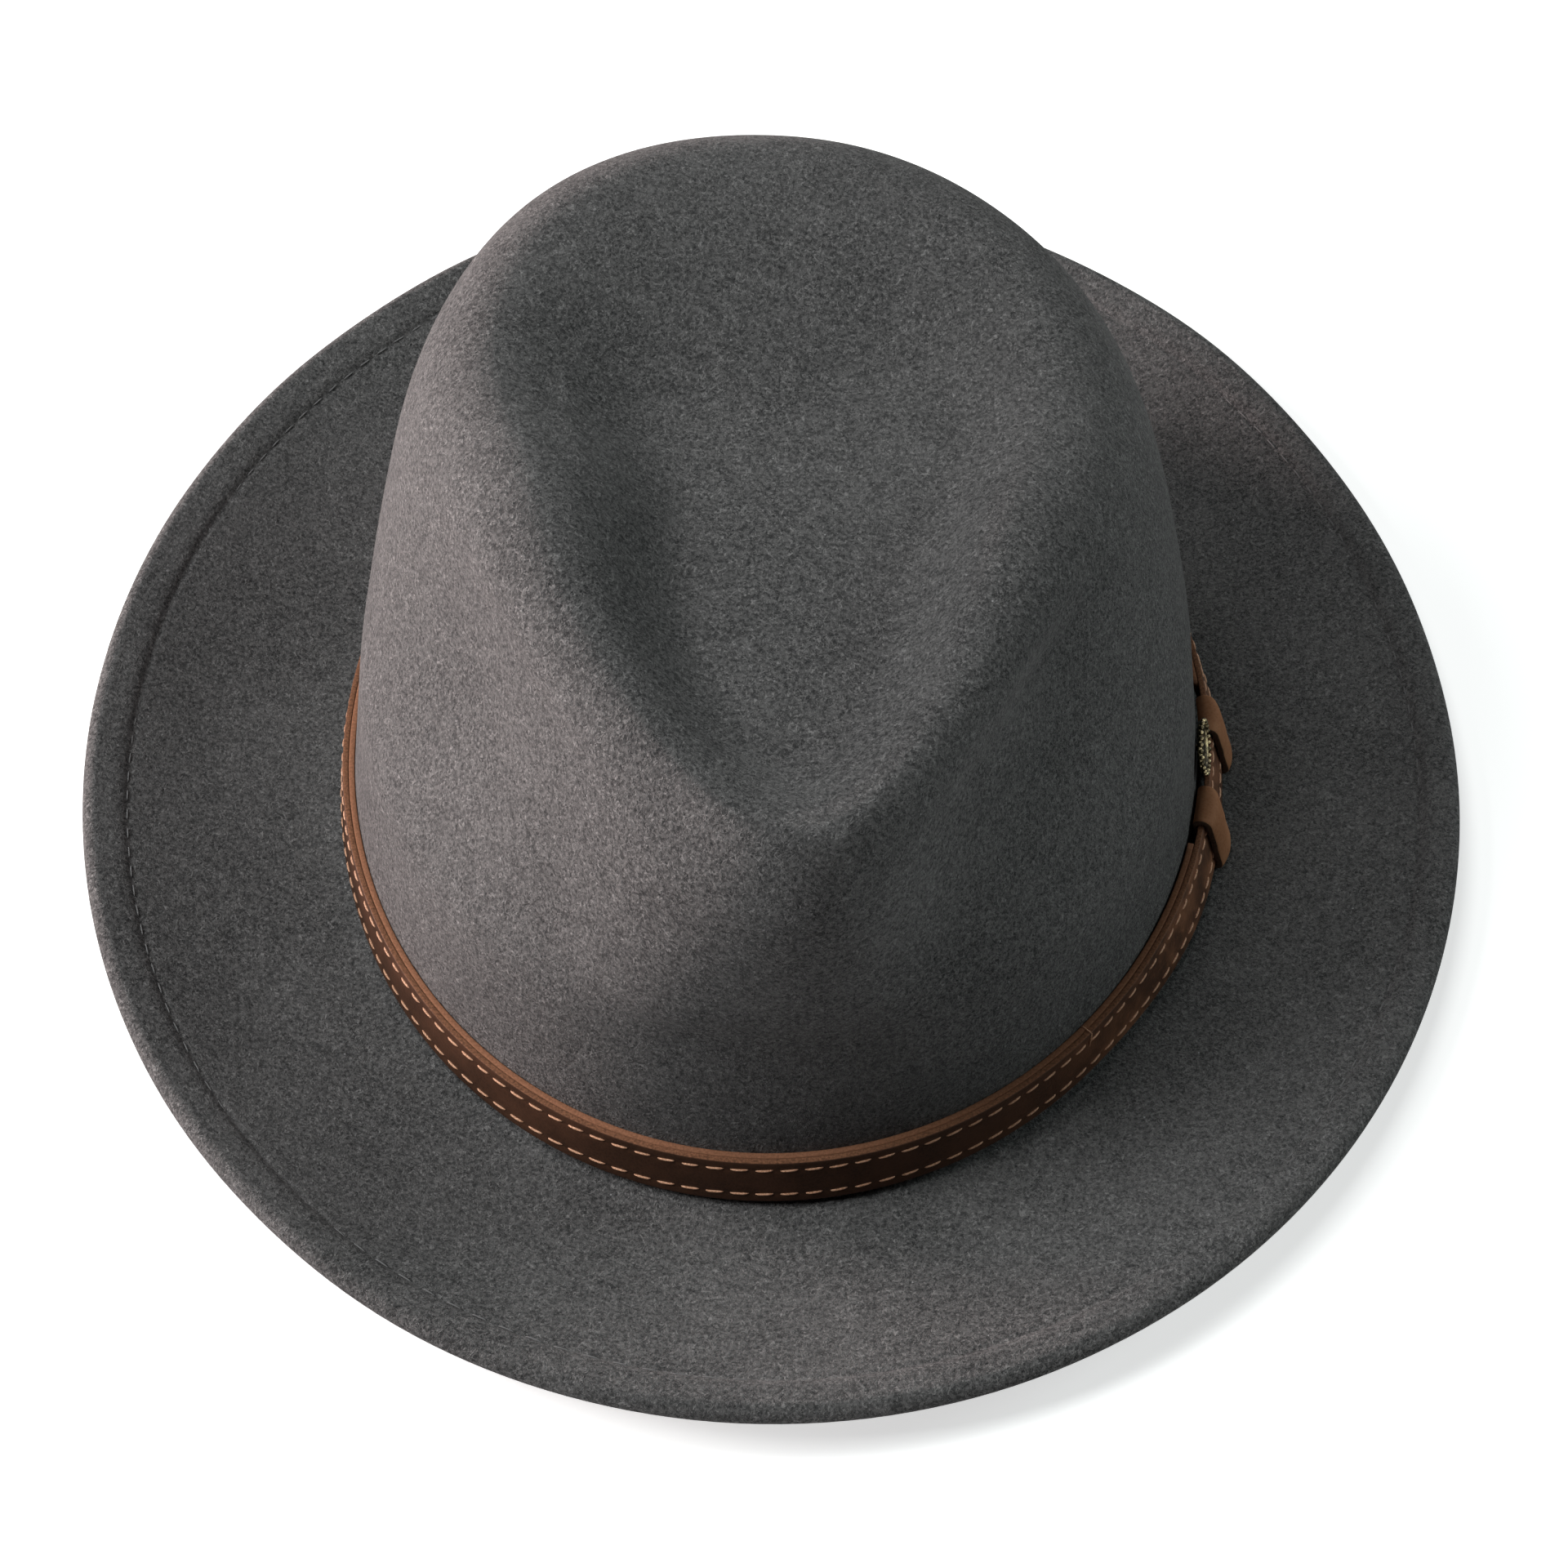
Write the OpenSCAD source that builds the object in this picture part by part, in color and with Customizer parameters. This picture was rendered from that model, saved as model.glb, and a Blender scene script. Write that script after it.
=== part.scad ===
// Felt fedora with a creased teardrop crown, a wired brim with a sewn under-welt, a two-layer
// leather band with two sliding loops and a small pinned badge, a sweatband and a lining.
// Millimetres. +X is the wearer's left, -Y the front, +Z up. Z = 0 is the surface the hat lies on.

/* [Head opening] */
// Width of the opening inside the sweatband
opening_w = 167.2; // [160:0.2:180]
// Length of the opening inside the sweatband
opening_l = 203.2; // [194:0.2:218]

/* [Felt] */
// Thickness of the felt
felt_t = 2.2; // [1.8:0.1:3]
// Rounding between the crown's wall and the brim
break_r = 1.4; // [1:0.1:1.8]

/* [Crown] */
// Height of the crest at the sides, above the table
crown_h = 115; // [104:0.5:125]
// How much lower the crest is at the front nose
nose_drop = 13; // [8:0.5:14]
// How much lower the crest is at the back
back_drop = 2.5; // [0:0.5:6]
// How much lower the crest is on the left side than on the right
side_drop = 10; // [0:0.5:12]
// Height of the straight lower wall that the band lies on
wall_h = 42; // [40:1:50]
// Inward lean of the lower wall, in millimetres per millimetre of height
wall_lean = 0.13; // [0.1:0.005:0.15]
// Setback of the crest from the base at the front
crest_front = 11; // [10:0.5:16]
// Setback of the crest from the base at the sides
crest_side = 42; // [38:0.5:44]
// Setback of the crest from the base at the back
crest_back = 44; // [38:1:48]
// Roundness of the shoulder outside the crest
shoulder = 17; // [14:0.5:20]
// How far the blunt nose is pushed out between the pinches
nose_push = 5; // [0:0.5:6]

/* [Creases] */
// Turn of the creases towards the left side, in degrees
crease_turn = 4.5; // [0:0.5:5]
// Depth of the teardrop dent below the side crest
dent_depth = 17; // [12:0.5:22]
// Width of the slope between the crest and the dent's floor
dent_slope = 27; // [22:1:32]
// Rise of the dent's floor at the back
dent_rise = 3; // [0:0.5:6]
// Depth of the pinch on the left
left_pinch_depth = 10; // [6:0.5:13]
// Angle of the left pinch from the front
left_pinch_turn = 45; // [40:1:50]
// Depth of the pinch on the right
right_pinch_depth = 10.5; // [6:0.5:13]
// Angle of the right pinch from the front
right_pinch_turn = 48; // [42:1:54]

/* [Brim] */
// Width of the brim along its slope
brim_w = 53.5; // [45:0.5:65]
// Rise of the edge at the front
rise_front = 12.5; // [4:0.5:20]
// Rise of the edge at the back
rise_back = 18; // [4:0.5:22]
// Mean rise of the edge at the sides
rise_side = 12.5; // [8:0.5:20]
// How much more the right side rises than the mean, and the left side less
side_roll = 4; // [0:0.5:7]
// Flat ring around the opening that the hat rests on
rest_w = 6; // [4:0.5:10]
// Width of the felt turned under at the edge
welt_w = 9; // [7:0.5:10]
// Slit between the brim and the felt turned under it
welt_slit = 0.3; // [0.2:0.05:0.4]
// Thickness of the wire in the welt
wire_d = 1.4; // [1:0.1:1.8]

/* [Band] */
// Height of the leather band
band_h = 11; // [9:0.5:14]
// Thickness of the face leather
face_t = 1.2; // [1:0.1:1.6]
// Thickness of the backing leather
backing_t = 1.3; // [1.2:0.05:1.6]
// Distance of each row of stitches from the band's edge
row_inset = 2.1; // [1.6:0.1:3]
// Thickness of the sewing thread
thread_d = 0.6; // [0.4:0.05:0.8]

/* [Loops] */
// Length of each loop along the band
loop_l = 9.5; // [8:0.5:13]
// Thickness of the loop's leather
loop_t = 1.2; // [0.9:0.1:1.6]
// Thickness of the skived back of each loop
loop_back_t = 0.9; // [0.6:0.05:0.95]
// How far the band leans out at the closure, in millimetres per millimetre of height
closure_lean = 0.32; // [0.2:0.01:0.36]
// Distance between the two loops' middles
loop_spacing = 24; // [22:0.2:30]
// How far each loop slides away from the badge
loop_travel = 4.5; // [2:0.5:8]
// Running clearance of the loops
loop_gap = 0.3; // [0.25:0.05:0.4]
// Angle of the middle of the closure behind the left side's widest point
closure_turn = -4.6; // [-8:0.2:8]

/* [Badge] */
// Length of the badge
badge_l = 14; // [10:0.5:16]
// Height of the badge
badge_h = 8.5; // [6:0.5:10]
// Thickness of the badge's plate
badge_t = 1.2; // [1:0.1:1.8]
// Number of beads round the badge
bead_count = 26; // [18:1:32]
// Thickness of the badge's pin
pin_d = 1.2; // [1:0.1:1.6]
// Width of the washer that holds the pin inside the crown
washer_d = 9; // [7:0.5:12]

/* [Sweatband and lining] */
// Height of the sweatband
sweat_h = 34; // [26:1:38]
// Thickness of the sweatband
sweat_t = 1.1; // [0.9:0.1:1.5]
// Space between the sweatband and the felt
sweat_gap = 0.9; // [0.9:0.02:0.98]
// Thickness of the reed sewn into the sweatband's lower edge
reed_d = 2; // [1.6:0.1:2.4]
// Width of the bow at the back of the sweatband
bow_w = 24; // [16:1:30]
// Height of the bow's loops
bow_h = 8; // [6:0.5:10]
// Thickness of the bow's ribbon loops
bow_t = 1.6; // [1.2:0.1:2]
// Thickness of the lining
lining_t = 0.4; // [0.3:0.05:0.5]
// Space between the lining and the felt
lining_gap = 0.4; // [0.35:0.05:0.45]

/* [Hidden] */

FRONT = 270;
ring_n = 72;        // sections round the felt, the band and the rings
tiny = 0.01;

// Outer faces of the felt where the crown meets the brim.
base_a = opening_w / 2 + sweat_t + sweat_gap + felt_t;
base_b = opening_l / 2 + sweat_t + sweat_gap + felt_t;
top_z = felt_t;                       // top of the brim at the crown
crest_half_w = base_a - crest_side;
crest_reach_front = base_b - crest_front;
crest_reach_back = base_b - crest_back;
floor_z = crown_h - dent_depth;
wall_z = wall_h;

// ---------------------------------------------------------------- small helpers
function unit(v) = v / norm(v);
function mix(a, b, t) = a + (b - a) * t;
function clamp01(t) = max(0, min(1, t));
function smooth(t) = let (c = clamp01(t)) c * c * (3 - 2 * c);
function bell(x, width) = exp(-pow(x / width, 2));
function wrap(angle) = let (a = angle % 360) a < 0 ? a + 360 : a;
function from_front(phi) = let (d = abs(wrap(phi) - FRONT)) min(d, 360 - d);
function to_left(phi) = wrap(phi - FRONT + 180) - 180;     // degrees from the front, signed
function oval_r(a, b, phi) = a * b / norm([b * cos(phi), a * sin(phi)]);
function oval_normal(a, b, phi) = unit([cos(phi) / (a * a), sin(phi) / (b * b)]);
function out(phi, r, z) = [r * cos(phi), r * sin(phi), z];

// Ring angles, the same for every piece, so that neighbours have parallel facets.
angles = [for (i = [0 : ring_n - 1]) 360 * i / ring_n];

// Closed faces between rows of points. A row is one section, and rows wrap round when closed.
// From column turned on, the diagonals run the other way.
function quad_faces(rows, cols, closed_rows, closed_cols, turned) = [
    for (i = [0 : rows - (closed_rows ? 1 : 2)], j = [0 : cols - (closed_cols ? 1 : 2)])
        let (i2 = (i + 1) % rows, j2 = (j + 1) % cols,
            a = i * cols + j, b = i * cols + j2, c = i2 * cols + j2, d = i2 * cols + j)
        each (j < turned ? [[a, b, c], [a, c, d]] : [[a, b, d], [b, c, d]])];

// A ring: closed sections joined all the way round.
module ring_solid(sections, turned = 999) {
    rows = len(sections);
    cols = len(sections[0]);
    polyhedron([for (s = sections) each s], quad_faces(rows, cols, true, true, turned));
}

// A strip: closed sections joined end to end, with an end cap at each end. Flip takes sections
// whose points run the other way round, so that two strips share the diagonals where they meet.
module strip_solid(sections, flip = false) {
    rows = len(sections);
    cols = len(sections[0]);
    last = (rows - 1) * cols;
    caps = [for (j = [1 : cols - 2]) each [[0, j + 1, j], [last, last + j, last + j + 1]]];
    faces = concat(quad_faces(rows, cols, false, true, cols), caps);
    polyhedron([for (s = sections) each s],
        flip ? [for (f = faces) [f[2], f[1], f[0]]] : faces);
}

// A shell that closes on the axis: rings of points from the outer middle to the inner middle.
module dome_solid(first, rings, end) {
    rows = len(rings);
    cols = len(rings[0]);
    from = rows * cols;
    to = from + 1;
    fans = [for (j = [0 : cols - 1]) let (k = (j + 1) % cols)
        each [[from, k, j], [to, (rows - 1) * cols + j, (rows - 1) * cols + k]]];
    polyhedron(concat([for (r = rings) each r], [first, end]),
        concat(quad_faces(rows, cols, false, true, cols), fans));
}

// ---------------------------------------------------------------- the crown's surface
// The teardrop crest: an oval that draws out to a rounded point at the front.
tip_spread = 30;    // degrees over which the point fades into the oval
tip_round = 11;     // degrees of rounding at the point
saddle = 6;         // how far the crest dips where it crosses each side
function crest_r(phi) =
    let (back = crest_reach_back - crest_half_w,
        tip = crest_reach_front - crest_half_w + back,
        turned = phi - crease_turn,
        d = norm([from_front(turned), tip_round]) - tip_round)
    crest_half_w + back * sin(turned) + tip * exp(-d / tip_spread);
function crest_z(phi) = crown_h - side_drop / 2 * cos(phi) - saddle * pow(cos(phi), 4)
    - nose_drop * pow(max(0, -sin(phi)), 4) - back_drop * pow(max(0, sin(phi)), 2);

// How far the felt is pushed in at the two pinches, and out at the blunt nose between them.
left_pinch_w = 25;      // degrees
right_pinch_w = 29;
pinch_reach = 26;       // up and down
nose_w = 19;            // degrees
nose_reach = 34;
pinch_fade = 12;        // height above the straight wall over which the pinches begin
crest_fade = 18;        // height below the crest over which they end
function pinch(phi, z) =
    let (turn = to_left(phi), from_middle = z - (wall_z + crown_h) / 2,
        in = left_pinch_depth * bell(turn - left_pinch_turn, left_pinch_w)
            + right_pinch_depth * bell(turn + right_pinch_turn, right_pinch_w),
        out = nose_push * exp(-pow(turn / nose_w, 4)))
    (in * bell(from_middle, pinch_reach) - out * bell(from_middle, nose_reach))
        * smooth((z - wall_z) / pinch_fade) * smooth((crest_z(phi) - z) / crest_fade);

function wall_r(phi, z) = oval_r(base_a, base_b, phi) - wall_lean * (z - top_z);

// The dent, from its middle (s = 0) to the crest (s = 1). Its slope is longest at the back.
slope_back = 1.4;       // how much longer the slope is at the back, as a share
slope_side = 0.3;       // how much longer it is on the right, and shorter on the left
slope_curve = 1.3;      // above 1, so that the slope is steepest near the crest
function dent_point(phi, s) =
    let (r = crest_r(phi),
        slope = dent_slope * (1 + slope_back * pow(max(0, sin(phi)), 2) - slope_side * cos(phi)),
        start = max(0, 1 - slope / r),
        low = floor_z + dent_rise * s * r * sin(phi) / crest_reach_back)
    out(phi, r * s, mix(low, crest_z(phi),
        pow(smooth((s - start) / (1 - start)), slope_curve)));

// The upper wall, a Bezier curve from the crest (t = 0) down to the straight wall (t = 1).
wall_rise = 0.55;       // how stiffly the straight wall carries on upwards
nose_round = 0.4;       // how much tighter the shoulder is at the front, as a share
nose_round_w = 35;      // degrees
function upper_point(phi, t) =
    let (r0 = crest_r(phi), z0 = crest_z(phi),
        r3 = wall_r(phi, wall_z), rise = wall_rise * (z0 - wall_z),
        round = shoulder * (1 - nose_round * bell(to_left(phi), nose_round_w)),
        a = [r0, z0], b = [r0 + round, z0],
        c = [r3 - wall_lean * rise, wall_z + rise], d = [r3, wall_z],
        u = 1 - t,
        p = u * u * u * a + 3 * u * u * t * b + 3 * u * t * t * c + t * t * t * d)
    out(phi, p[0] - pinch(phi, p[1]), p[1]);

// The whole outer surface: q runs 0 to 1 over the dent, 1 to 2 down the upper wall.
function skin(phi, q) = q < 1 ? dent_point(phi, q) : upper_point(phi, q - 1);
function skin_normal(phi, q) =
    q < 0.05 ? [0, 0, 1] :
    let (h = 0.01, lo = q - h, hi = min(2, q + h),
        along = skin(phi, hi) - skin(phi, lo),
        around = skin(phi + 0.5, q) - skin(phi - 0.5, q))
    unit(cross(along, around));
// A point at a depth inside the outer surface.
function inside(phi, q, depth) = skin(phi, q) - depth * skin_normal(phi, q);

// A point beside the straight wall, n outside the felt's outer face.
function beside_wall(phi, z, n) =
    let (p = wall_r(phi, z) * [cos(phi), sin(phi)] + n * oval_normal(base_a, base_b, phi))
    [p[0], p[1], z];

// ---------------------------------------------------------------- the brim
function rise(phi) = rise_side * pow(cos(phi), 2) - side_roll * cos(phi)
    + (sin(phi) < 0 ? rise_front : rise_back) * pow(sin(phi), 2);
edge_a = base_a + sqrt(pow(brim_w, 2) - pow(rise_side, 2));
edge_b = base_b + sqrt(pow(brim_w, 2) - pow((rise_front + rise_back) / 2, 2));
brim_curl = 1.6;    // above 1, so that the brim is flat near the crown and curls up outwards
function brim_span(phi) = oval_r(edge_a, edge_b, phi) - oval_r(base_a, base_b, phi);
// [radius, height] of the brim's top, at a share v of its width.
function brim_top(phi, v) =
    let (span = brim_span(phi), flat = rest_w / span)
    [oval_r(base_a, base_b, phi) + v * span,
        top_z + rise(phi) * pow(clamp01((v - flat) / (1 - flat)), brim_curl)];
function brim_up(phi, v) =
    let (h = 0.01, d = unit(brim_top(phi, v + h) - brim_top(phi, v - h))) [-d[1], d[0]];

// The welt's own frame: it starts at from, runs along d, and up is square to it.
fold_r = felt_t + welt_slit / 2;
channel_r = wire_d / 2 + welt_slit / 2;
function welt_start(phi) = 1 - welt_w / brim_span(phi);
function welt_frame(phi) =
    let (from = brim_top(phi, welt_start(phi)), to = brim_top(phi, 1), d = unit(to - from))
    [from, d, [-d[1], d[0]], norm(to - from)];
function in_welt(frame, along, down) = frame[0] + along * frame[1] - down * frame[2];
function wire_at(frame) = in_welt(frame, frame[3] - felt_t - channel_r, fold_r);

// Outline of the folded edge, from the brim's top round to the brim's underside.
function welt_outline(phi) =
    let (f = welt_frame(phi), mid = in_welt(f, f[3] - fold_r, fold_r), w = wire_at(f),
        slit = asin(welt_slit / 2 / channel_r))
    concat(
        [in_welt(f, 0, 0)],
        [for (a = [90 : -36 : -90]) mid + fold_r * (cos(a) * f[1] + sin(a) * f[2])],
        [in_welt(f, 0, 2 * fold_r), in_welt(f, 0, felt_t + welt_slit)],
        [for (k = [0 : 5]) let (a = mix(-180 + slit, 180 - slit, k / 5))
            w + channel_r * (cos(a) * f[1] + sin(a) * f[2])],
        [in_welt(f, 0, felt_t)]);

// The felt's section below the crown: down the wall, over the brim, round the welt and back.
function lower_section(phi) =
    let (b = oval_r(base_a, base_b, phi), start = welt_start(phi),
        flat = rest_w / brim_span(phi),
        over = [for (k = [0 : 6]) brim_top(phi, mix(flat, start, k / 7))],
        under = [for (k = [6 : -1 : 1]) let (v = mix(flat, start, k / 7))
            brim_top(phi, v) - felt_t * brim_up(phi, v)])
    concat(
        [for (a = [0 : 30 : 90]) [b + break_r * (1 - cos(a)), top_z + break_r * (1 - sin(a))]],
        over, welt_outline(phi), under,
        [[b + rest_w, 0], [b - felt_t + break_r, 0], [b - felt_t, break_r]]);

dent_steps = [0.14, 0.28, 0.4, 0.5, 0.6, 0.69, 0.77, 0.85, 0.93];
wall_steps = [for (k = [0 : 8]) 1 + k / 8];
felt_steps = concat(dent_steps, wall_steps);

module felt_body() {
    lower = [for (phi = angles) lower_section(phi)];
    outer_rings = [for (q = felt_steps) [for (phi = angles) skin(phi, q)]];
    lower_rings = [for (k = [0 : len(lower[0]) - 1])
        [for (i = [0 : ring_n - 1]) out(angles[i], lower[i][k][0], lower[i][k][1])]];
    inner_rings = [for (k = [len(felt_steps) - 1 : -1 : 0])
        [for (phi = angles) inside(phi, felt_steps[k], felt_t)]];
    color("dimgray")
        dome_solid([0, 0, floor_z], concat(outer_rings, lower_rings, inner_rings),
            [0, 0, floor_z - felt_t]);
}

// A round ring whose middle follows path(phi) = [radius, height].
module round_ring(middles, r, sides) {
    ring_solid([for (i = [0 : ring_n - 1])
        [for (k = [0 : sides - 1]) let (a = 360 * k / sides)
            out(angles[i], middles[i][0] + r * cos(a), middles[i][1] + r * sin(a))]]);
}

module brim_wire() {
    color("silver")
        round_ring([for (phi = angles) wire_at(welt_frame(phi))], wire_d / 2, 6);
}

// The sewing row lies along the welt's inner edge, half sunk in the felt.
stitch_from_cut = 1.6;
module brim_stitching() {
    color("slategray")
        round_ring([for (phi = angles) in_welt(welt_frame(phi), stitch_from_cut, 0)],
            thread_d / 2, 4);
}

// ---------------------------------------------------------------- the leather band
loop_floor = 0.3;                            // felt to the back of a loop, and loop to brim
band_z = top_z + loop_floor + loop_t + loop_gap;
face_n = loop_floor + loop_back_t + loop_gap;   // felt to the inside of the face leather
// The side of the crown is nearly a round arc, and the loops slide about its middle.
arc_r = base_b * base_b / base_a;
arc_x = base_a - arc_r;
function along_side(d) = atan2(arc_r * sin(deg_of(d)), arc_x + arc_r * cos(deg_of(d)));
function deg_of(d) = d / arc_r * 180 / PI;
closure_d = tan(closure_turn) * base_a;      // distance of the closure's middle along the side
loop_reach = loop_spacing / 2 + loop_l / 2;
backing_end = loop_reach + loop_travel + loop_gap;

// Angles of a strip that starts and ends at two distances along the left side.
function strip_angles(from_d, to_d) =
    let (a = along_side(closure_d + from_d), b = 360 + along_side(closure_d - to_d))
    concat([a], [for (phi = concat(angles, [360])) if (phi > a + 1 && phi < b - 1) phi], [b]);

// The loops push the band's lower edge out, so it leans more at the closure than elsewhere.
loop_low = band_z - loop_gap - loop_t;
loop_high = band_z + band_h + loop_gap + loop_t;
lean_hold = 16;     // degrees on each side of the closure with the full lean
lean_fade = 30;     // degrees over which the lean goes back to the wall's
function lean_out(z) = (closure_lean - wall_lean) * (loop_high - z);
function from_closure(phi) = let (d = abs(wrap(phi - closure_turn))) min(d, 360 - d);
function beside_band(phi, z, n) =
    beside_wall(phi, z,
        n + lean_out(z) * (1 - smooth((from_closure(phi) - lean_hold) / lean_fade)));
function band_section(phi, n0, n1) = [
    beside_band(phi, band_z, n0), beside_band(phi, band_z, n1),
    beside_band(phi, band_z + band_h, n1), beside_band(phi, band_z + band_h, n0)];

// The face leather goes all the way round, and its ends meet under the front loop.
face_joint = 0.4;
module band_face() {
    joint = along_side(closure_d - loop_spacing / 2);
    half = face_joint / 2 / base_a * 180 / PI;
    a = joint + half;
    b = joint + 360 - half;
    turns = concat([a], [for (k = [-4 : ring_n]) let (phi = 360 * k / ring_n)
        if (phi > a + 1 && phi < b - 1) phi], [b]);
    color("saddlebrown")
        strip_solid([for (phi = turns) band_section(phi, face_n, face_n + face_t)]);
}

// The backing leaves out the closure, so that the loops fit behind the face leather.
module band_backing() {
    color("sienna")
        strip_solid([for (phi = strip_angles(backing_end, backing_end))
            band_section(phi, face_n, face_n - backing_t)], flip = true);
}

module band_row(z) {
    color("burlywood")
        ring_solid([for (phi = angles)
            [for (a = [0 : 90 : 270]) beside_band(phi, z + thread_d / 2 * sin(a),
                face_n + face_t + thread_d / 2 * cos(a))]]);
}
module band_stitching_upper() { band_row(band_z + band_h - row_inset); }
module band_stitching_lower() { band_row(band_z + row_inset); }

// Thread tacks sew the band to the felt at four places.
tack_angles = [-50, 40, 105, 165];
tack_w = 0.8;
module band_tacks() {
    color("burlywood")
        for (phi = tack_angles) {
            p = beside_wall(phi, band_z + band_h, 0);
            way = oval_normal(base_a, base_b, phi);
            translate([p[0], p[1], p[2] - thread_d])
                rotate([0, 0, atan2(way[1], way[0])])
                    translate([-thread_d, -tack_w / 2, thread_d + tiny])
                        cube([face_n + face_t + thread_d, tack_w, thread_d]);
        }
}

// ---------------------------------------------------------------- the loops
// Outline of a loop's leather in the plane that holds the closure's axis: x is the distance
// from that axis, y the height. It leans with the wall.
function leaning(n, z) = [arc_r - wall_lean * (z - top_z) + lean_out(z) + n, z];
module loop_profile() {
    back = loop_floor;
    front = face_n + face_t + thread_d / 2 + loop_gap + loop_t;
    corner = loop_t / 2;
    low = loop_low + loop_t;
    high = loop_high - loop_t;
    difference() {
        polygon([leaning(back, loop_low), leaning(front - corner, loop_low),
            leaning(front, loop_low + corner), leaning(front, loop_high - corner),
            leaning(front - corner, loop_high), leaning(back, loop_high)]);
        polygon([leaning(back + loop_back_t, low), leaning(front - loop_t, low),
            leaning(front - loop_t, high), leaning(back + loop_back_t, high)]);
    }
}
module loop_at(d) {
    color("peru")
        translate([arc_x, 0, 0])
            rotate([0, 0, deg_of(closure_d + d - loop_l / 2)])
                rotate_extrude(angle = deg_of(loop_l), $fn = 96) loop_profile();
}
module front_loop() { loop_at(-loop_spacing / 2); }
module rear_loop() { loop_at(loop_spacing / 2); }

// ---------------------------------------------------------------- the badge
badge_gap = 0.3;
badge_z = band_z + band_h + badge_gap + badge_h / 2;
badge_tilt = atan(closure_lean) - atan(wall_lean);    // its lower edge stands out like the band
badge_stand = badge_gap + badge_h / 2 * sin(badge_tilt);
// Places a child drawn on the XY plane on the crown's side, with its +Z outwards.
module on_side(z, n) {
    translate([arc_x, 0, 0])
        rotate([0, 0, deg_of(closure_d)])
            translate([arc_r - wall_lean * (z - top_z) + n, 0, z])
                rotate([0, -atan(wall_lean), 0])
                    rotate([90, 0, 90])
                        children();
}
bead_d = 1.1;
washer_t = 0.5;
washer_room = 0.12;     // from the washer and the pin's end to the sweatband
module oval_plate(l, h, t) {
    linear_extrude(t)
        polygon([for (a = [0 : 7.5 : 359]) [l / 2 * cos(a), h / 2 * sin(a)]]);
}
module badge() {
    pin_l = badge_stand + felt_t + sweat_gap - washer_room;
    on_side(badge_z, badge_stand)
        color("darkgray") {
            rotate([-badge_tilt, 0, 0]) {
                oval_plate(badge_l - bead_d, badge_h - bead_d, badge_t);
                for (k = [0 : bead_count - 1]) {
                    a = 360 * k / bead_count;
                    translate([(badge_l - bead_d) / 2 * cos(a),
                        (badge_h - bead_d) / 2 * sin(a), 0])
                        cylinder(d = bead_d, h = badge_t + bead_d / 4, $fn = 16);
                }
            }
            translate([0, 0, -pin_l])
                cylinder(d = pin_d, h = pin_l + badge_t / 2, $fn = 24);
        }
}
module badge_washer() {
    color("silver")
        on_side(badge_z, badge_stand)
            translate([0, 0, washer_room - badge_stand - felt_t - sweat_gap])
            difference() {
                cylinder(d = washer_d, h = washer_t, $fn = 48);
                translate([0, 0, -1]) cylinder(d = pin_d + 0.1, h = washer_t + 2, $fn = 24);
            }
}

// ---------------------------------------------------------------- the sweatband
sweat_n = felt_t + sweat_gap;           // felt's outer face to the sweatband's outer face
reed_stand = 0.4;                       // table to the reed, which the hat's ring holds clear
reed_tuck = 0.2;                        // how far the reed goes under the sweatband's face
sweat_z = reed_stand + reed_d + 0.2;
reed_z = reed_stand + reed_d / 2;
module sweatband() {
    color("saddlebrown")
        ring_solid([for (phi = angles) let (inner = sweat_n + sweat_t)
            [beside_wall(phi, sweat_z, -inner), beside_wall(phi, sweat_z, -sweat_n),
                beside_wall(phi, sweat_z + sweat_h / 2, -sweat_n),
                beside_wall(phi, sweat_z + sweat_h, -sweat_n),
                beside_wall(phi, sweat_z + sweat_h, -inner),
                beside_wall(phi, sweat_z + sweat_h / 2, -inner)]]);
}
module reed_ring(r, z, n, sides) {
    ring_solid([for (phi = angles) [for (k = [0 : sides - 1]) let (a = 360 * k / sides)
        beside_wall(phi, z + r * sin(a), n + r * cos(a))]]);
}
module sweatband_reed() {
    color("black") reed_ring(reed_d / 2, reed_z, reed_tuck - sweat_n - reed_d / 2, 8);
}
module sweatband_stitching() {
    color("burlywood")
        reed_ring(thread_d / 2, sweat_z + row_inset, -sweat_n - sweat_t, 4);
}

// A small ribbon bow marks the back of the sweatband.
bow_gap = 0.4;
bow_corner = 1.2;
bow_z = sweat_z + row_inset + bow_h / 2 + 1;
module bow_lobe(side) {
    hull() {
        translate([side * bow_t, 0, 0]) cylinder(r = bow_h / 6, h = bow_t * 0.7, $fn = 24);
        for (up = [-1, 1])
            translate([side * (bow_w / 2 - bow_corner), up * (bow_h / 2 - bow_corner), 0])
                cylinder(r = bow_corner, h = bow_t, $fn = 24);
    }
}
module sweatband_bow() {
    hollow = pow(bow_w / 2, 2) * base_b / pow(base_a, 2) / 2;   // of the wall behind the bow
    n = sweat_n + sweat_t + bow_gap + hollow;
    color("black")
        translate([0, base_b - wall_lean * (bow_z - top_z) - n, bow_z])
            rotate([90 + atan(wall_lean), 0, 0]) {
                bow_lobe(-1);
                bow_lobe(1);
                cylinder(r = bow_h / 4, h = bow_t * 1.3, $fn = 24);
            }
}

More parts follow.
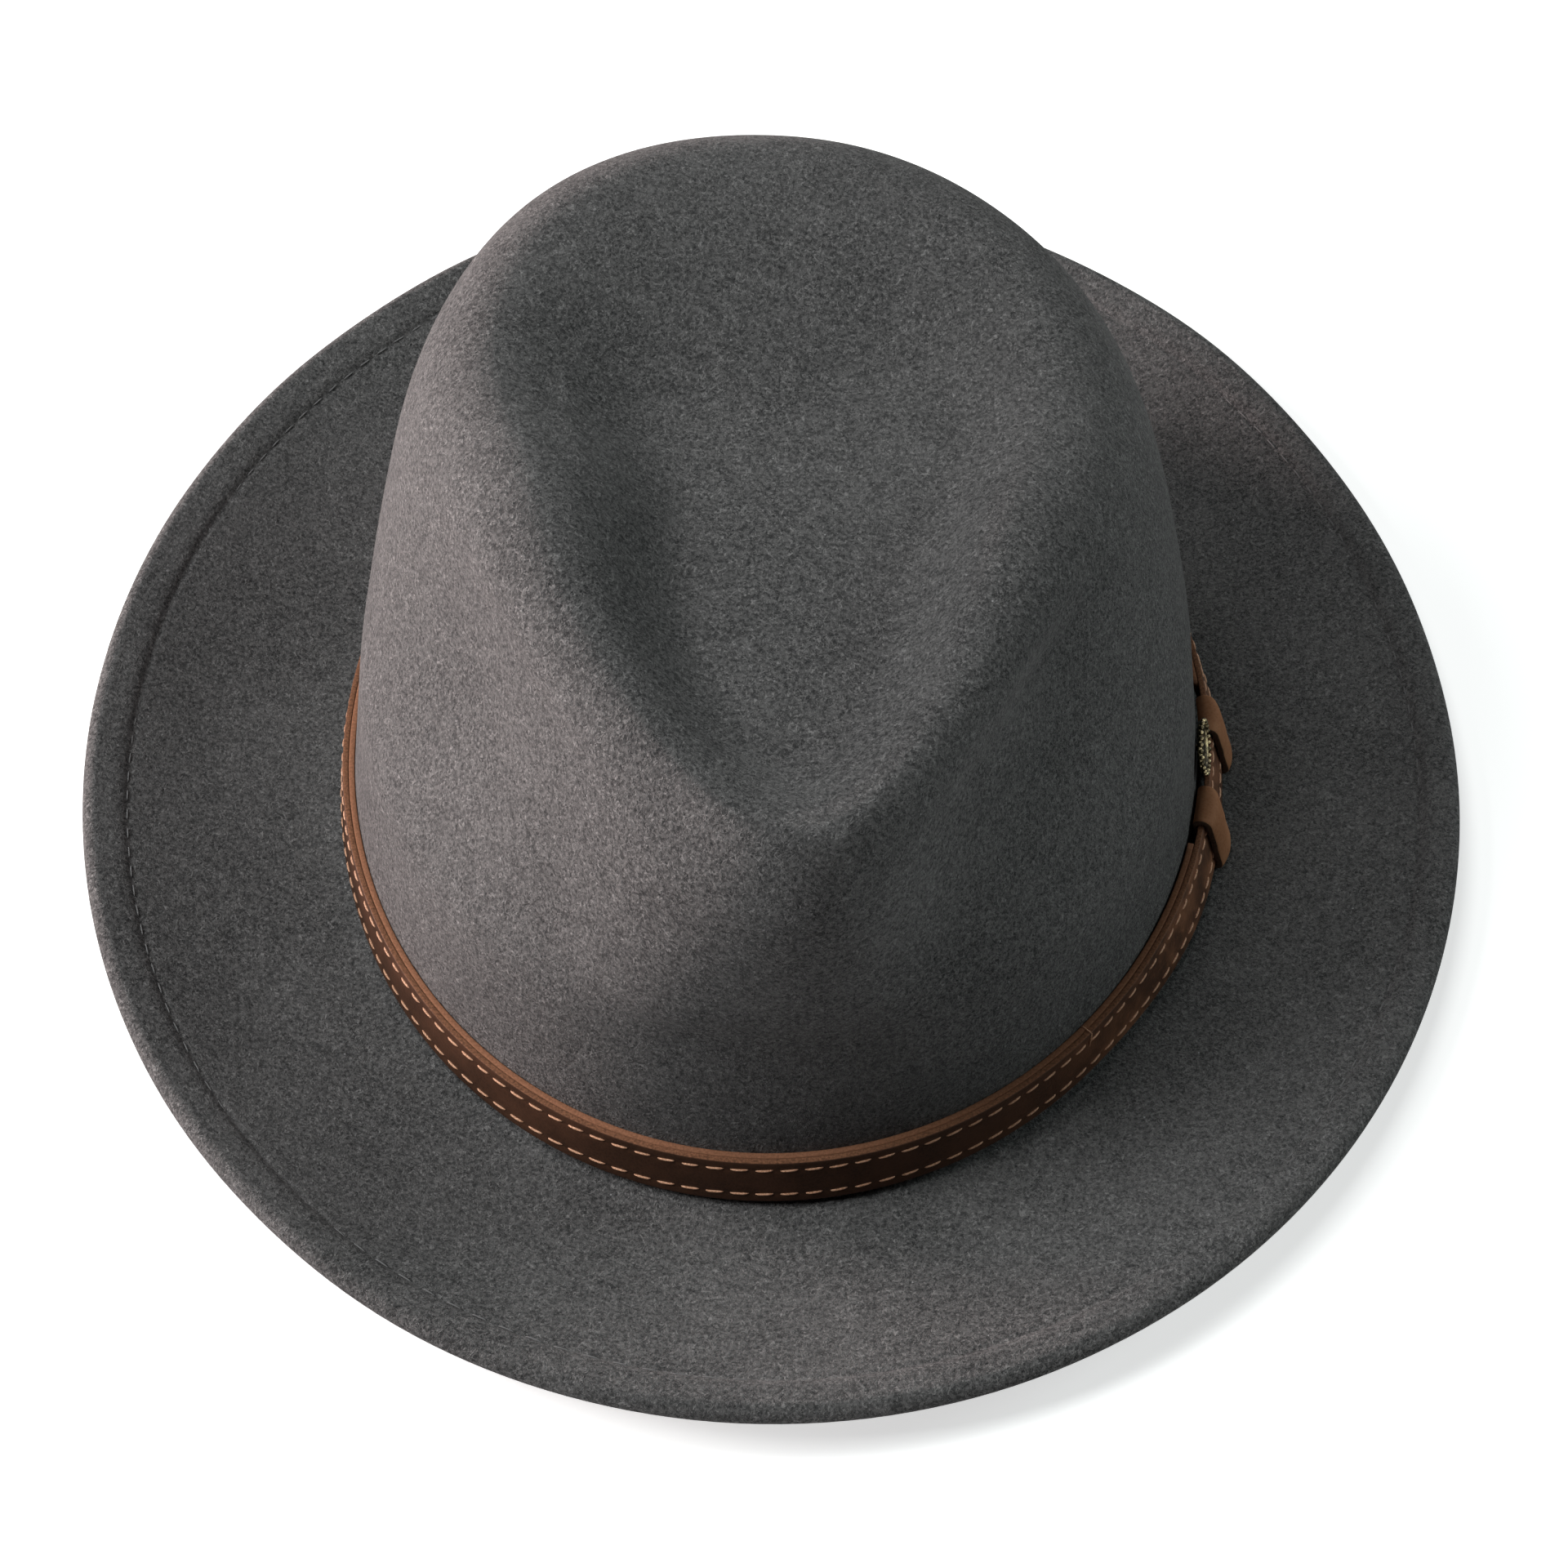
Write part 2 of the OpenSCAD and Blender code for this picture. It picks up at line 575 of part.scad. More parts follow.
// ---------------------------------------------------------------- the lining
lining_depth = felt_t + lining_gap;
seam_q = 0.6;       // where the tip panel is sewn to the side panel, inside the dent's slope
seam_gap = 0.004;
lining_tuck = 6;    // how far the lining goes down behind the sweatband
function lining_ring(q, depth) = [for (phi = angles) inside(phi, q, depth)];
module lining_tip() {
    steps = [0.14, 0.28, 0.4, 0.5, seam_q];
    outer = [for (q = steps) lining_ring(q, lining_depth)];
    inner = [for (k = [len(steps) - 1 : -1 : 0]) lining_ring(steps[k], lining_depth + lining_t)];
    color("dimgray")
        dome_solid([0, 0, floor_z - lining_depth], concat(outer, inner),
            [0, 0, floor_z - lining_depth - lining_t]);
}
module lining_side() {
    steps = concat([seam_q + seam_gap, 0.69, 0.77, 0.85, 0.93], wall_steps);
    tuck_z = sweat_z + sweat_h - lining_tuck;
    color("gray")
        ring_solid([for (i = [ring_n - 1 : -1 : 0]) let (phi = angles[i]) concat(
            [for (q = steps) inside(phi, q, lining_depth)],
            [beside_wall(phi, tuck_z, -lining_depth),
                beside_wall(phi, tuck_z, -lining_depth - lining_t)],
            [for (k = [len(steps) - 1 : -1 : 0])
                inside(phi, steps[k], lining_depth + lining_t)])], turned = len(steps));
}

felt_body();
brim_wire();
brim_stitching();
band_face();
band_backing();
band_stitching_upper();
band_stitching_lower();
band_tacks();
front_loop();
rear_loop();
badge();
badge_washer();
sweatband();
sweatband_reed();
sweatband_stitching();
sweatband_bow();
lining_side();
lining_tip();
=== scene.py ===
# %% [markdown]
# A creased felt hat with a leather band, finished over its packed construction.
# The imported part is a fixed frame: every piece made here lies where that frame says.
# Each step first says what the piece is on the real hat and how it could be made, then makes it.
# Lengths are in metres. +X is the wearer's left, -Y the front, +Z up, and the hat lies on z = 0.

import math
import random

import bmesh
import bpy
from mathutils import Matrix, Vector, noise


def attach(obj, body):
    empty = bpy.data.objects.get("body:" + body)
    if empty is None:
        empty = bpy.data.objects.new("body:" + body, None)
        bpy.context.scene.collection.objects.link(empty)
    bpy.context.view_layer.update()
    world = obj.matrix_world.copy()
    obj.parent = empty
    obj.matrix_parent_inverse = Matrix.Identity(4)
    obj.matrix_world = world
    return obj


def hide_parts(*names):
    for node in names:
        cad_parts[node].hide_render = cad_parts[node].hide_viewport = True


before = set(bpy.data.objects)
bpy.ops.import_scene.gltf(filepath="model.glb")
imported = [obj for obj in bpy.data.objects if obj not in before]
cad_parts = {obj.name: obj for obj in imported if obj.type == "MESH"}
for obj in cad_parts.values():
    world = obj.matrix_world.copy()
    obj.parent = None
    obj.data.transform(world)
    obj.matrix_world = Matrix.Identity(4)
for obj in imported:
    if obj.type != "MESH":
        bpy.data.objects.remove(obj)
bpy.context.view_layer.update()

# %% [markdown]
# The crown, the band, the sweatband and the lining all follow one set of curves, so the sizes
# come first. They are the construction's own driving sizes, and the frame gives what it can.

# %% Driving sizes
mm = 0.001
FRONT = 270
crown_h = 115 * mm
felt_t = 2.2 * mm
sweat_t = 1.1 * mm
sweat_gap = 0.9 * mm
base_a = 167.2 * mm / 2 + sweat_t + sweat_gap + felt_t
base_b = 203.2 * mm / 2 + sweat_t + sweat_gap + felt_t
top_z = felt_t
break_r = 1.4 * mm
wall_z = 42 * mm
wall_lean = 0.13
print("crown height", round(crown_h, 4), "base", round(base_a, 4), round(base_b, 4))


def mix(a, b, t):
    return a + (b - a) * t


def smooth(t):
    t = min(1, max(0, t))
    return t * t * (3 - 2 * t)


def bell(x, width):
    return math.exp(-(x / width) ** 2)


def sin_d(angle):
    return math.sin(math.radians(angle))


def cos_d(angle):
    return math.cos(math.radians(angle))


def to_left(phi):
    """How many degrees a direction is from the front, positive towards the wearer's left."""
    return (phi - FRONT + 180) % 360 - 180


def turn_between(phi, other):
    """How many degrees two directions round the hat are apart."""
    return abs((phi - other + 180) % 360 - 180)


def oval_r(a, b, phi):
    return a * b / math.hypot(b * cos_d(phi), a * sin_d(phi))


def out(phi, r, z):
    """The point at a radius r and a height z, in the direction phi."""
    return Vector((r * cos_d(phi), r * sin_d(phi), z))


# %% [markdown]
# A felt crown is one surface that was pressed over a block: a teardrop dent in the top, a crest
# round it that draws out to a point at the front, a wall, and a pinch on each side of the point.
# A height function over the plan can't give the steep wall, so each direction round the hat gets
# its own section: q runs 0 to 1 over the dent and 1 to 2 down the upper wall.

# %% The crown's surface
crest_half_w = base_a - 42 * mm
crest_reach_front = base_b - 11 * mm
crest_reach_back = base_b - 44 * mm
tip_spread, tip_round, crease_turn = 30, 11, 4.5
nose_drop, back_drop, side_drop, saddle = 13 * mm, 2.5 * mm, 10 * mm, 6 * mm
dent_slope, dent_rise = 27 * mm, 3 * mm
slope_back, slope_side, slope_curve = 1.4, 0.3, 1.3
shoulder, wall_rise = 17 * mm, 0.55
nose_round, nose_round_w = 0.4, 35
left_pinch, right_pinch, nose_push = 10 * mm, 10.5 * mm, 5 * mm
left_turn, right_turn, left_w, right_w, nose_w = 45, 48, 25, 29, 19
pinch_reach, nose_reach, pinch_fade, crest_fade = 26 * mm, 34 * mm, 12 * mm, 18 * mm
floor_z = crown_h - 17 * mm


def crest_r(phi):
    """The teardrop crest: an oval that draws out to a rounded point at the front."""
    back = crest_reach_back - crest_half_w
    tip = crest_reach_front - crest_half_w + back
    turned = phi - crease_turn
    away = math.hypot(turn_between(turned, FRONT), tip_round) - tip_round
    return crest_half_w + back * sin_d(turned) + tip * math.exp(-away / tip_spread)


def crest_z(phi):
    """The crest's height: lowest at the nose, lower on the left, and dipped at each side."""
    front, back = max(0, -sin_d(phi)), max(0, sin_d(phi))
    across = side_drop / 2 * cos_d(phi) + saddle * cos_d(phi) ** 4
    return crown_h - across - nose_drop * front ** 4 - back_drop * back ** 2


def wall_r(phi, z):
    return oval_r(base_a, base_b, phi) - wall_lean * (z - top_z)


def pinch(phi, z):
    """How far the felt is pushed in beside the nose, less how far it is pushed out at the nose."""
    turn, from_middle = to_left(phi), z - (wall_z + crown_h) / 2
    pushed_in = left_pinch * bell(turn - left_turn, left_w)
    pushed_in += right_pinch * bell(turn + right_turn, right_w)
    pushed_out = nose_push * math.exp(-(turn / nose_w) ** 4)
    pushed = pushed_in * bell(from_middle, pinch_reach) - pushed_out * bell(from_middle, nose_reach)
    return pushed * smooth((z - wall_z) / pinch_fade) * smooth((crest_z(phi) - z) / crest_fade)


def dent_point(phi, s):
    r = crest_r(phi)
    slope = dent_slope * (1 + slope_back * max(0, sin_d(phi)) ** 2 - slope_side * cos_d(phi))
    start = max(0, 1 - slope / r)
    low = floor_z + dent_rise * s * r * sin_d(phi) / crest_reach_back
    return out(phi, r * s, mix(low, crest_z(phi), smooth((s - start) / (1 - start)) ** slope_curve))


def upper_point(phi, t):
    r0, z0, r3 = crest_r(phi), crest_z(phi), wall_r(phi, wall_z)
    r1 = r0 + shoulder * (1 - nose_round * bell(to_left(phi), nose_round_w))
    lift = wall_rise * (z0 - wall_z)
    r2, z2 = r3 - wall_lean * lift, wall_z + lift
    u = 1 - t
    k0, k1, k2, k3 = u ** 3, 3 * u * u * t, 3 * u * t * t, t ** 3
    z = (k0 + k1) * z0 + k2 * z2 + k3 * wall_z
    return out(phi, k0 * r0 + k1 * r1 + k2 * r2 + k3 * r3 - pinch(phi, z), z)


def skin(phi, q):
    return dent_point(phi, q) if q < 1 else upper_point(phi, q - 1)


def skin_normal(phi, q):
    if q < 0.05:
        return Vector((0, 0, 1))
    along = skin(phi, min(2, q + 0.01)) - skin(phi, q - 0.01)
    return along.cross(skin(phi + 0.5, q) - skin(phi - 0.5, q)).normalized()


def inside(phi, q, depth):
    return skin(phi, q) - depth * skin_normal(phi, q)


def beside_wall(phi, z, n):
    """A point beside the straight lower wall, n outside the felt."""
    way = Vector((cos_d(phi) / base_a ** 2, sin_d(phi) / base_b ** 2, 0)).normalized()
    return out(phi, wall_r(phi, z), z) + n * way


print("crest at the front, side and back:", [round(crest_r(a), 4) for a in (FRONT, 0, 90)])

# %% [markdown]
# The brim leaves the crown flat, where the hat rests, and curls up towards its edge. At the edge
# the felt is turned under over a wire and sewn down, which leaves a shallow groove along the
# sewing and a soft roll outside it. The welt gets its own frame, so that both are easy to say.

# %% The brim's surface
brim_w = 53.5 * mm
rise_front, rise_back, rise_side, side_roll = 12.5 * mm, 18 * mm, 12.5 * mm, 4 * mm
rest_w = 6 * mm
welt_w, welt_slit, wire_d = 9 * mm, 0.3 * mm, 1.4 * mm
brim_curl = 1.6
edge_a = base_a + math.sqrt(brim_w ** 2 - rise_side ** 2)
edge_b = base_b + math.sqrt(brim_w ** 2 - ((rise_front + rise_back) / 2) ** 2)
fold_r = felt_t + welt_slit / 2
channel_r = wire_d / 2 + welt_slit / 2
sewing_in = 1.6 * mm


def rise(phi):
    far = rise_front if sin_d(phi) < 0 else rise_back
    return rise_side * cos_d(phi) ** 2 - side_roll * cos_d(phi) + far * sin_d(phi) ** 2


def brim_span(phi):
    return oval_r(edge_a, edge_b, phi) - oval_r(base_a, base_b, phi)


def brim_top(phi, v):
    """The brim's top at a share v of its width, as (radius, height)."""
    span = brim_span(phi)
    flat = rest_w / span
    lift = max(0, (v - flat) / (1 - flat)) ** brim_curl
    return Vector((oval_r(base_a, base_b, phi) + v * span, top_z + rise(phi) * lift))


def brim_under(phi, v):
    d = (brim_top(phi, v + 0.01) - brim_top(phi, v - 0.01)).normalized()
    return brim_top(phi, v) - felt_t * Vector((-d.y, d.x))


def welt_start(phi):
    return 1 - welt_w / brim_span(phi)


def in_welt(phi, along, down, back_from_edge=False):
    """A point in the welt's frame, along from its start or from its edge, down into the felt."""
    start, end = brim_top(phi, welt_start(phi)), brim_top(phi, 1)
    d = (end - start).normalized()
    return (end if back_from_edge else start) + along * d - down * Vector((-d.y, d.x))


print("brim across and along:", round(2 * edge_a, 4), round(2 * edge_b, 4))

# %% [markdown]
# The whole felt is one piece, so it starts as a plain tube: one upright row of points, spun once
# round the axis. Its rings are then blocked one by one, as a hatter blocks a felt cone: over the
# crown, out over the brim, round the welt, and back up inside. Spin makes all the faces, and
# a ring is known again by its height in the tube.

# %% The rings of the felt
felt_steps, same_point = 256, 0.002 * mm
dent_n, upper_n, wall_n, break_n, brim_n, groove_n, fold_n = 30, 40, 10, 5, 24, 14, 10
below_n, channel_n, under_n, foot_n, inner_n = 5, 7, 18, 4, 6
groove_depth, groove_w, edge_roll = 0.3 * mm, 0.7 * mm, 0.35 * mm


def sewn_form(along):
    """How far the welt's top stands above its plain slope: a groove, then a roll."""
    past = (along - sewing_in) / (welt_w - fold_r - sewing_in)
    roll = edge_roll * math.sin(math.pi * min(1, past)) if past > 0 else 0
    return roll - groove_depth * bell(along - sewing_in, groove_w)


def welt_top(phi, share):
    along = share * (welt_w - fold_r)
    return in_welt(phi, along, -sewn_form(along))


def welt_fold(phi, share):
    angle = mix(90, -90, share)
    return in_welt(phi, -fold_r + fold_r * cos_d(angle), fold_r - fold_r * sin_d(angle), True)


def welt_below(phi, share):
    return in_welt(phi, (1 - share) * (welt_w - fold_r), 2 * fold_r)


def wire_channel(phi, share):
    slit = math.degrees(math.asin(welt_slit / 2 / channel_r))
    angle = mix(-180 + slit, 180 - slit, share)
    along = -felt_t - channel_r + channel_r * cos_d(angle)
    return in_welt(phi, along, fold_r - channel_r * sin_d(angle), True)


def crown_break(phi, share):
    r = oval_r(base_a, base_b, phi)
    return Vector((r + break_r * (1 - cos_d(90 * share)), top_z + break_r * (1 - sin_d(90 * share))))


def brim_share(phi, share):
    return mix(rest_w / brim_span(phi), welt_start(phi), share)


def foot(phi, share):
    """The flat underside that the hat lies on, and the rounding up to the inner wall."""
    r = oval_r(base_a, base_b, phi) - felt_t
    if share == 0:
        return Vector((r + felt_t + rest_w, 0))
    angle = 90 * (share - 1 / foot_n) / (1 - 1 / foot_n)
    return Vector((r + break_r * (1 - sin_d(angle)), break_r * (1 - cos_d(angle))))


def shares(n, first=0, last=1):
    return [mix(first, last, k / n) for k in range(n + 1)]


def flat_ring(section, share):
    """A ring whose section gives (radius, height)."""
    def place(phi):
        p = section(phi, share)
        return out(phi, p.x, p.y)
    return place


def wall_ring(share, depth):
    """A ring between the upper wall and the break, on the outer or the inner face."""
    def place(phi):
        z = mix(wall_z, top_z + break_r if depth == 0 else break_r, share)
        foot_r = oval_r(base_a, base_b, phi) - depth
        upper = inside(phi, 2, depth) if depth else skin(phi, 2)
        return out(phi, mix(math.hypot(upper.x, upper.y), foot_r, share), z)
    return place


def skin_ring(q, depth):
    return lambda phi: inside(phi, q, depth) if depth else skin(phi, q)


dent_shares = shares(dent_n)
upper_shares = shares(upper_n, 1, 2)[1:]
felt_rings = [skin_ring(q, 0) for q in dent_shares + upper_shares]
felt_rings += [wall_ring(s, 0) for s in shares(wall_n)[1:-1]]
felt_rings += [flat_ring(crown_break, s) for s in shares(break_n)]
felt_rings += [flat_ring(lambda phi, s: brim_top(phi, brim_share(phi, s)), s)
               for s in shares(brim_n)[:-1]]
felt_rings += [flat_ring(welt_top, s) for s in shares(groove_n)[:-1]]
felt_rings += [flat_ring(welt_fold, s) for s in shares(fold_n)[:-1]]
felt_rings += [flat_ring(welt_below, s) for s in shares(below_n)]
felt_rings += [flat_ring(lambda phi, s: in_welt(phi, 0, felt_t + welt_slit), 0)]
felt_rings += [flat_ring(wire_channel, s) for s in shares(channel_n)]
felt_rings += [flat_ring(lambda phi, s: in_welt(phi, 0, felt_t), 0)]
felt_rings += [flat_ring(lambda phi, s: brim_under(phi, brim_share(phi, s)), s)
               for s in shares(under_n, 1, 0)[1:-1]]
felt_rings += [flat_ring(foot, s) for s in shares(foot_n)]
felt_rings += [wall_ring(s, felt_t) for s in shares(inner_n, 1, 0)[1:-1]]
felt_rings += [skin_ring(q, felt_t) for q in reversed(upper_shares[1::2])]
felt_rings += [skin_ring(q, felt_t) for q in reversed(dent_shares[::2])]
print("felt:", len(felt_rings), "rings of", felt_steps)


# %% [markdown]
# The tube is blocked ring by ring, and its points are merged where a ring shrinks to one place.
# Felt shaped by hand is never quite even, so a slow noise moves it a little wherever nothing has
# to fit. Every finished mesh is then hung on its body of the frame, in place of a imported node.

# %% Block the felt
def spun_tube(rings, steps):
    """A tube with one ring of points for each of rings, which then go where each ring says."""
    bm = bmesh.new()
    column = [bm.verts.new((1, 0, k)) for k in range(len(rings))]
    edges = [bm.edges.new(pair) for pair in zip(column, column[1:])]
    bmesh.ops.spin(bm, geom=column + edges, cent=(0, 0, 0), axis=(0, 0, 1),
                   angle=math.tau, steps=steps, use_merge=True, use_duplicate=False)
    for v in bm.verts:
        phi = math.degrees(math.atan2(v.co.y, v.co.x))
        v.co = rings[round(v.co.z)](phi)
    bmesh.ops.remove_doubles(bm, verts=bm.verts, dist=same_point)
    bmesh.ops.recalc_face_normals(bm, faces=bm.faces)
    return bm


wave, calm_w, calm_fade, dent_w = 45 * mm, 12 * mm, 20 * mm, 40 * mm


def undulate(bm, strength):
    """Soft unevenness of hand-blocked felt, the same on both faces, none where things fit."""
    for v in bm.verts:
        r = math.hypot(v.co.x, v.co.y)
        phi = math.degrees(math.atan2(v.co.y, v.co.x))
        beyond = r - oval_r(base_a, base_b, phi)
        free = smooth((v.co.z - wall_z if beyond < 0 else beyond - calm_w) / calm_fade)
        drift = noise.noise(v.co / wave) * strength * free
        v.co += Vector((0, 0, drift)) if beyond > 0 or r < dent_w else out(phi, drift, 0)


def finished(name, bm, body="hat", replaces=()):
    """A mesh piece from a bmesh, riding on a body of the frame."""
    mesh = bpy.data.meshes.new(name)
    bm.to_mesh(mesh)
    bm.free()
    piece = bpy.data.objects.new(name, mesh)
    bpy.context.scene.collection.objects.link(piece)
    for face in mesh.polygons:
        face.use_smooth = True
    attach(piece, body)
    if replaces:
        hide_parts(*replaces)
    print(name, "has", len(mesh.vertices), "points and", len(mesh.polygons), "faces")
    return piece


felt_bm = spun_tube(felt_rings, felt_steps)
undulate(felt_bm, 0.9 * mm)
felt = finished("felt", felt_bm, replaces=["felt_body"])

# %% [markdown]
# Everything sewn round the crown shares one way of being laid: a section of (n, z) points, n out
# from the felt and z up, is drawn in the XZ plane at a plain radius, spun, and then each point is
# laid against the crown. The band leans out at the closure, where the loops stand behind it.

# %% The band's place
band_h, face_t, backing_t = 11 * mm, 1.2 * mm, 1.3 * mm
row_inset, thread_d = 2.1 * mm, 0.6 * mm
loop_l, loop_t, loop_back_t, loop_floor, loop_gap = 9.5 * mm, 1.2 * mm, 0.9 * mm, 0.3 * mm, 0.3 * mm
loop_spacing, loop_travel, closure_lean, closure_turn = 24 * mm, 4.5 * mm, 0.32, -4.6
lean_hold, lean_fade = 16, 30
band_z = top_z + loop_floor + loop_t + loop_gap
band_top = band_z + band_h
face_n = loop_floor + loop_back_t + loop_gap
arc_r = base_b * base_b / base_a
arc_x = base_a - arc_r
closure_d = math.tan(math.radians(closure_turn)) * base_a
loop_low = band_z - loop_gap - loop_t
loop_high = band_top + loop_gap + loop_t
plain_r = (base_a + base_b) / 2


def arc_turn(d):
    return math.degrees(d / arc_r)


def along_side(d):
    """The direction, from the hat's axis, of a distance d along the left side's arc."""
    return math.degrees(math.atan2(arc_r * sin_d(arc_turn(d)), arc_x + arc_r * cos_d(arc_turn(d))))


def lean_out(z):
    return (closure_lean - wall_lean) * (loop_high - z)


def beside_band(phi, z, n):
    fade = 1 - smooth((turn_between(phi, closure_turn) - lean_hold) / lean_fade)
    return beside_wall(phi, z, n + lean_out(z) * fade)


def lay(bm, place):
    """Moves points from the plain radius to their place beside the crown."""
    for v in bm.verts:
        phi = math.degrees(math.atan2(v.co.y, v.co.x))
        v.co = place(phi, v.co.z, math.hypot(v.co.x, v.co.y) - plain_r)
    bmesh.ops.recalc_face_normals(bm, faces=bm.faces)


def section_face(bm, n0, n1, z0, z1, corner, segments=3):
    """A rounded rectangle of (n, z), standing at the plain radius in the XZ plane."""
    corners = [(n0, z0), (n1, z0), (n1, z1), (n0, z1)]
    ring = [bm.verts.new((plain_r + n, 0, z)) for n, z in corners]
    bm.faces.new(ring)
    bmesh.ops.bevel(bm, geom=ring, offset=corner, segments=segments, affect="VERTICES",
                    profile=0.5, material=-1)


def spin_strip(bm, start, turn, steps):
    """Spins section faces about the crown's axis into a strip with an end face at each end."""
    bmesh.ops.rotate(bm, verts=bm.verts, cent=(0, 0, 0),
                     matrix=Matrix.Rotation(math.radians(start), 3, "Z"))
    bmesh.ops.spin(bm, geom=list(bm.faces) + list(bm.edges) + list(bm.verts), cent=(0, 0, 0),
                   axis=(0, 0, 1), angle=math.radians(turn), steps=steps, use_duplicate=False)


print("band from", round(band_z, 4), "to", round(band_top, 4), "closure radius", round(arc_r, 4))

# %% [markdown]
# The band is two leathers back to back: a dark face with two sewn rows, and a tan backing that
# shows as the raw cut edge above it. Each is a rounded section spun round the crown. The face is
# pressed in along its two rows, so the section gets a shallow dip there before it is spun.

# %% The band's leathers
row_dip, row_dip_w, row_front, faces_cut = 0.14 * mm, 0.5 * mm, 0.25 * mm, 0.6


def mark_cut(bm, cut_way):
    """Marks each point with 1 where it faces along a cut edge's way, or 0 on a face."""
    bm.normal_update()
    layer = bm.verts.layers.float.new("cut")
    for v in bm.verts:
        v[layer] = float(abs(v.normal.dot(cut_way)) > faces_cut)


def strip_angles(open_d):
    """Start and turn of a strip that leaves open_d free on each side of the closure."""
    start = along_side(closure_d + open_d)
    return start, 360 + along_side(closure_d - open_d) - start


def press_rows(bm, front):
    """Shallow dips along the two sewn rows of a section's front."""
    for v in bm.verts:
        n = v.co.x - plain_r
        dip = max(bell(v.co.z - z, row_dip_w) for z in (band_z + row_inset, band_top - row_inset))
        v.co.x -= row_dip * dip * (n > front - row_front)


def split_long_edges(bm, longest):
    """Cuts a section's long edges, so that it can be bent along its height."""
    for edge in [e for e in bm.edges if e.calc_length() > longest]:
        cuts = math.ceil(edge.calc_length() / longest) - 1
        bmesh.ops.subdivide_edges(bm, edges=[edge], cuts=cuts)


def leather_strip(name, node, section, turns, fine, place, rows=False):
    """A section (n0, n1, z0, z1, corner) spun over turns (start, turn), cut fine (across, along)."""
    bm = bmesh.new()
    section_face(bm, *section)
    split_long_edges(bm, fine[0])
    if rows:
        press_rows(bm, section[1])
    spin_strip(bm, *turns, round(turns[1] / fine[1]))
    mark_cut(bm, Vector((0, 0, 1)))
    lay(bm, place)
    return finished(name, bm, replaces=[node])


face_joint, band_fine = 0.4 * mm, (0.4 * mm, 1.25)
joint_at = along_side(closure_d - loop_spacing / 2)
half_joint = math.degrees(face_joint / 2 / base_a)
backing_end = loop_spacing / 2 + loop_l / 2 + loop_travel + loop_gap
band_face = leather_strip("band_face_leather", "band_face",
                          (face_n, face_n + face_t, band_z, band_top, 0.25 * mm),
                          (joint_at + half_joint, 360 - 2 * half_joint), band_fine, beside_band,
                          rows=True)
band_backing = leather_strip("band_backing_leather", "band_backing",
                             (face_n - backing_t, face_n, band_z, band_top, 0.3 * mm),
                             strip_angles(backing_end), band_fine, beside_band)

# %% [markdown]
# Each stitch is a short thread that dips into the leather at both ends. One row has well over
# a hundred, so a stitch stays at a few dozen faces: a small sphere drawn out along its way, its
# middle filled and its ends pulled down. A row is made in a flat strip of (along, z, n) and laid
# on the hat by the same rule as the leather.

# %% Stitches
def add_stitch(bm, middle, half, outward, thick):
    """A thread through middle, from -half to +half, that stands up along outward."""
    middle, half, outward = Vector(middle), Vector(half), Vector(outward)
    across = half.cross(outward).normalized()
    for v in bmesh.ops.create_uvsphere(bm, u_segments=6, v_segments=8, radius=1)["verts"]:
        t = v.co.z
        round_end = math.sqrt(max(0.0, 1 - t * t))
        fill = math.sqrt(1 - t ** 4) / round_end if round_end > 0.01 else 1
        side = (v.co.x * across + v.co.y * outward) * fill * thick / 2
        v.co = middle + t * half + side - 0.4 * thick * t ** 4 * outward


def lay_flat(bm, place):
    """Lays a flat strip of (along, z, n), along measured at the plain radius, round the hat."""
    for v in bm.verts:
        v.co = place(math.degrees(v.co.x / plain_r), v.co.y, v.co.z)
    if bm.calc_volume(signed=True) < 0:
        bmesh.ops.reverse_faces(bm, faces=bm.faces)


def stitch_row(name, node, z, count, share, n, thick, place, slant, seed):
    """A row of count stitches, each as long as that share of the pitch, none quite alike."""
    rng = random.Random(seed)
    pitch = math.tau * plain_r / count
    bm = bmesh.new()
    for k in range(count):
        half = pitch * share * rng.uniform(0.46, 0.52)
        tilt = slant + rng.uniform(-0.05, 0.05) * mm
        add_stitch(bm, (k * pitch, z + rng.uniform(-0.04, 0.04) * mm, n), (half, tilt, 0),
                   OUTWARD, thick)
    lay_flat(bm, place)
    return finished(name, bm, replaces=[node])


def brim_place(phi, along, n):
    p = in_welt(phi, along, -n - sewn_form(along))
    return out(phi, p.x, p.y)


OUTWARD = (0, 0, 1)
band_count, brim_count, sweat_count = 146, 172, 210
rows = [stitch_row("band_thread_" + row, "band_stitching_" + row, z, band_count,
                   0.76, face_n + face_t, 0.46 * mm, beside_band, 0.1 * mm, seed)
        for row, z, seed in (("upper", band_top - row_inset, 1), ("lower", band_z + row_inset, 2))]
brim_thread = stitch_row("brim_thread", "brim_stitching", sewing_in, brim_count,
                         0.58, 0, 0.34 * mm, brim_place, 0, 3)

# %% [markdown]
# Small thread tacks hold the band to the felt at four places. Each comes out of the felt above
# the band, crosses the cut edge and runs slantwise over the face to the upper row. Two stitches
# set at an angle to each other make one tack.

# %% Tacks
tack_angles, tack_d, tack_half = [-50, 40, 105, 165], 0.36 * mm, 1.9 * mm
front = face_n + face_t
tack_bm = bmesh.new()
for angle in tack_angles:
    along = math.radians(angle) * plain_r
    add_stitch(tack_bm, (along, band_top, front / 2 + 0.1 * mm), (0, 0, front / 2), (0, 1, 0),
               tack_d)
    add_stitch(tack_bm, (along - 0.2 * mm, band_top - tack_half, front),
               (-0.5 * mm, -tack_half, 0), OUTWARD, tack_d)
lay_flat(tack_bm, beside_band)
tacks = finished("band_tack_thread", tack_bm, replaces=["band_tacks"])

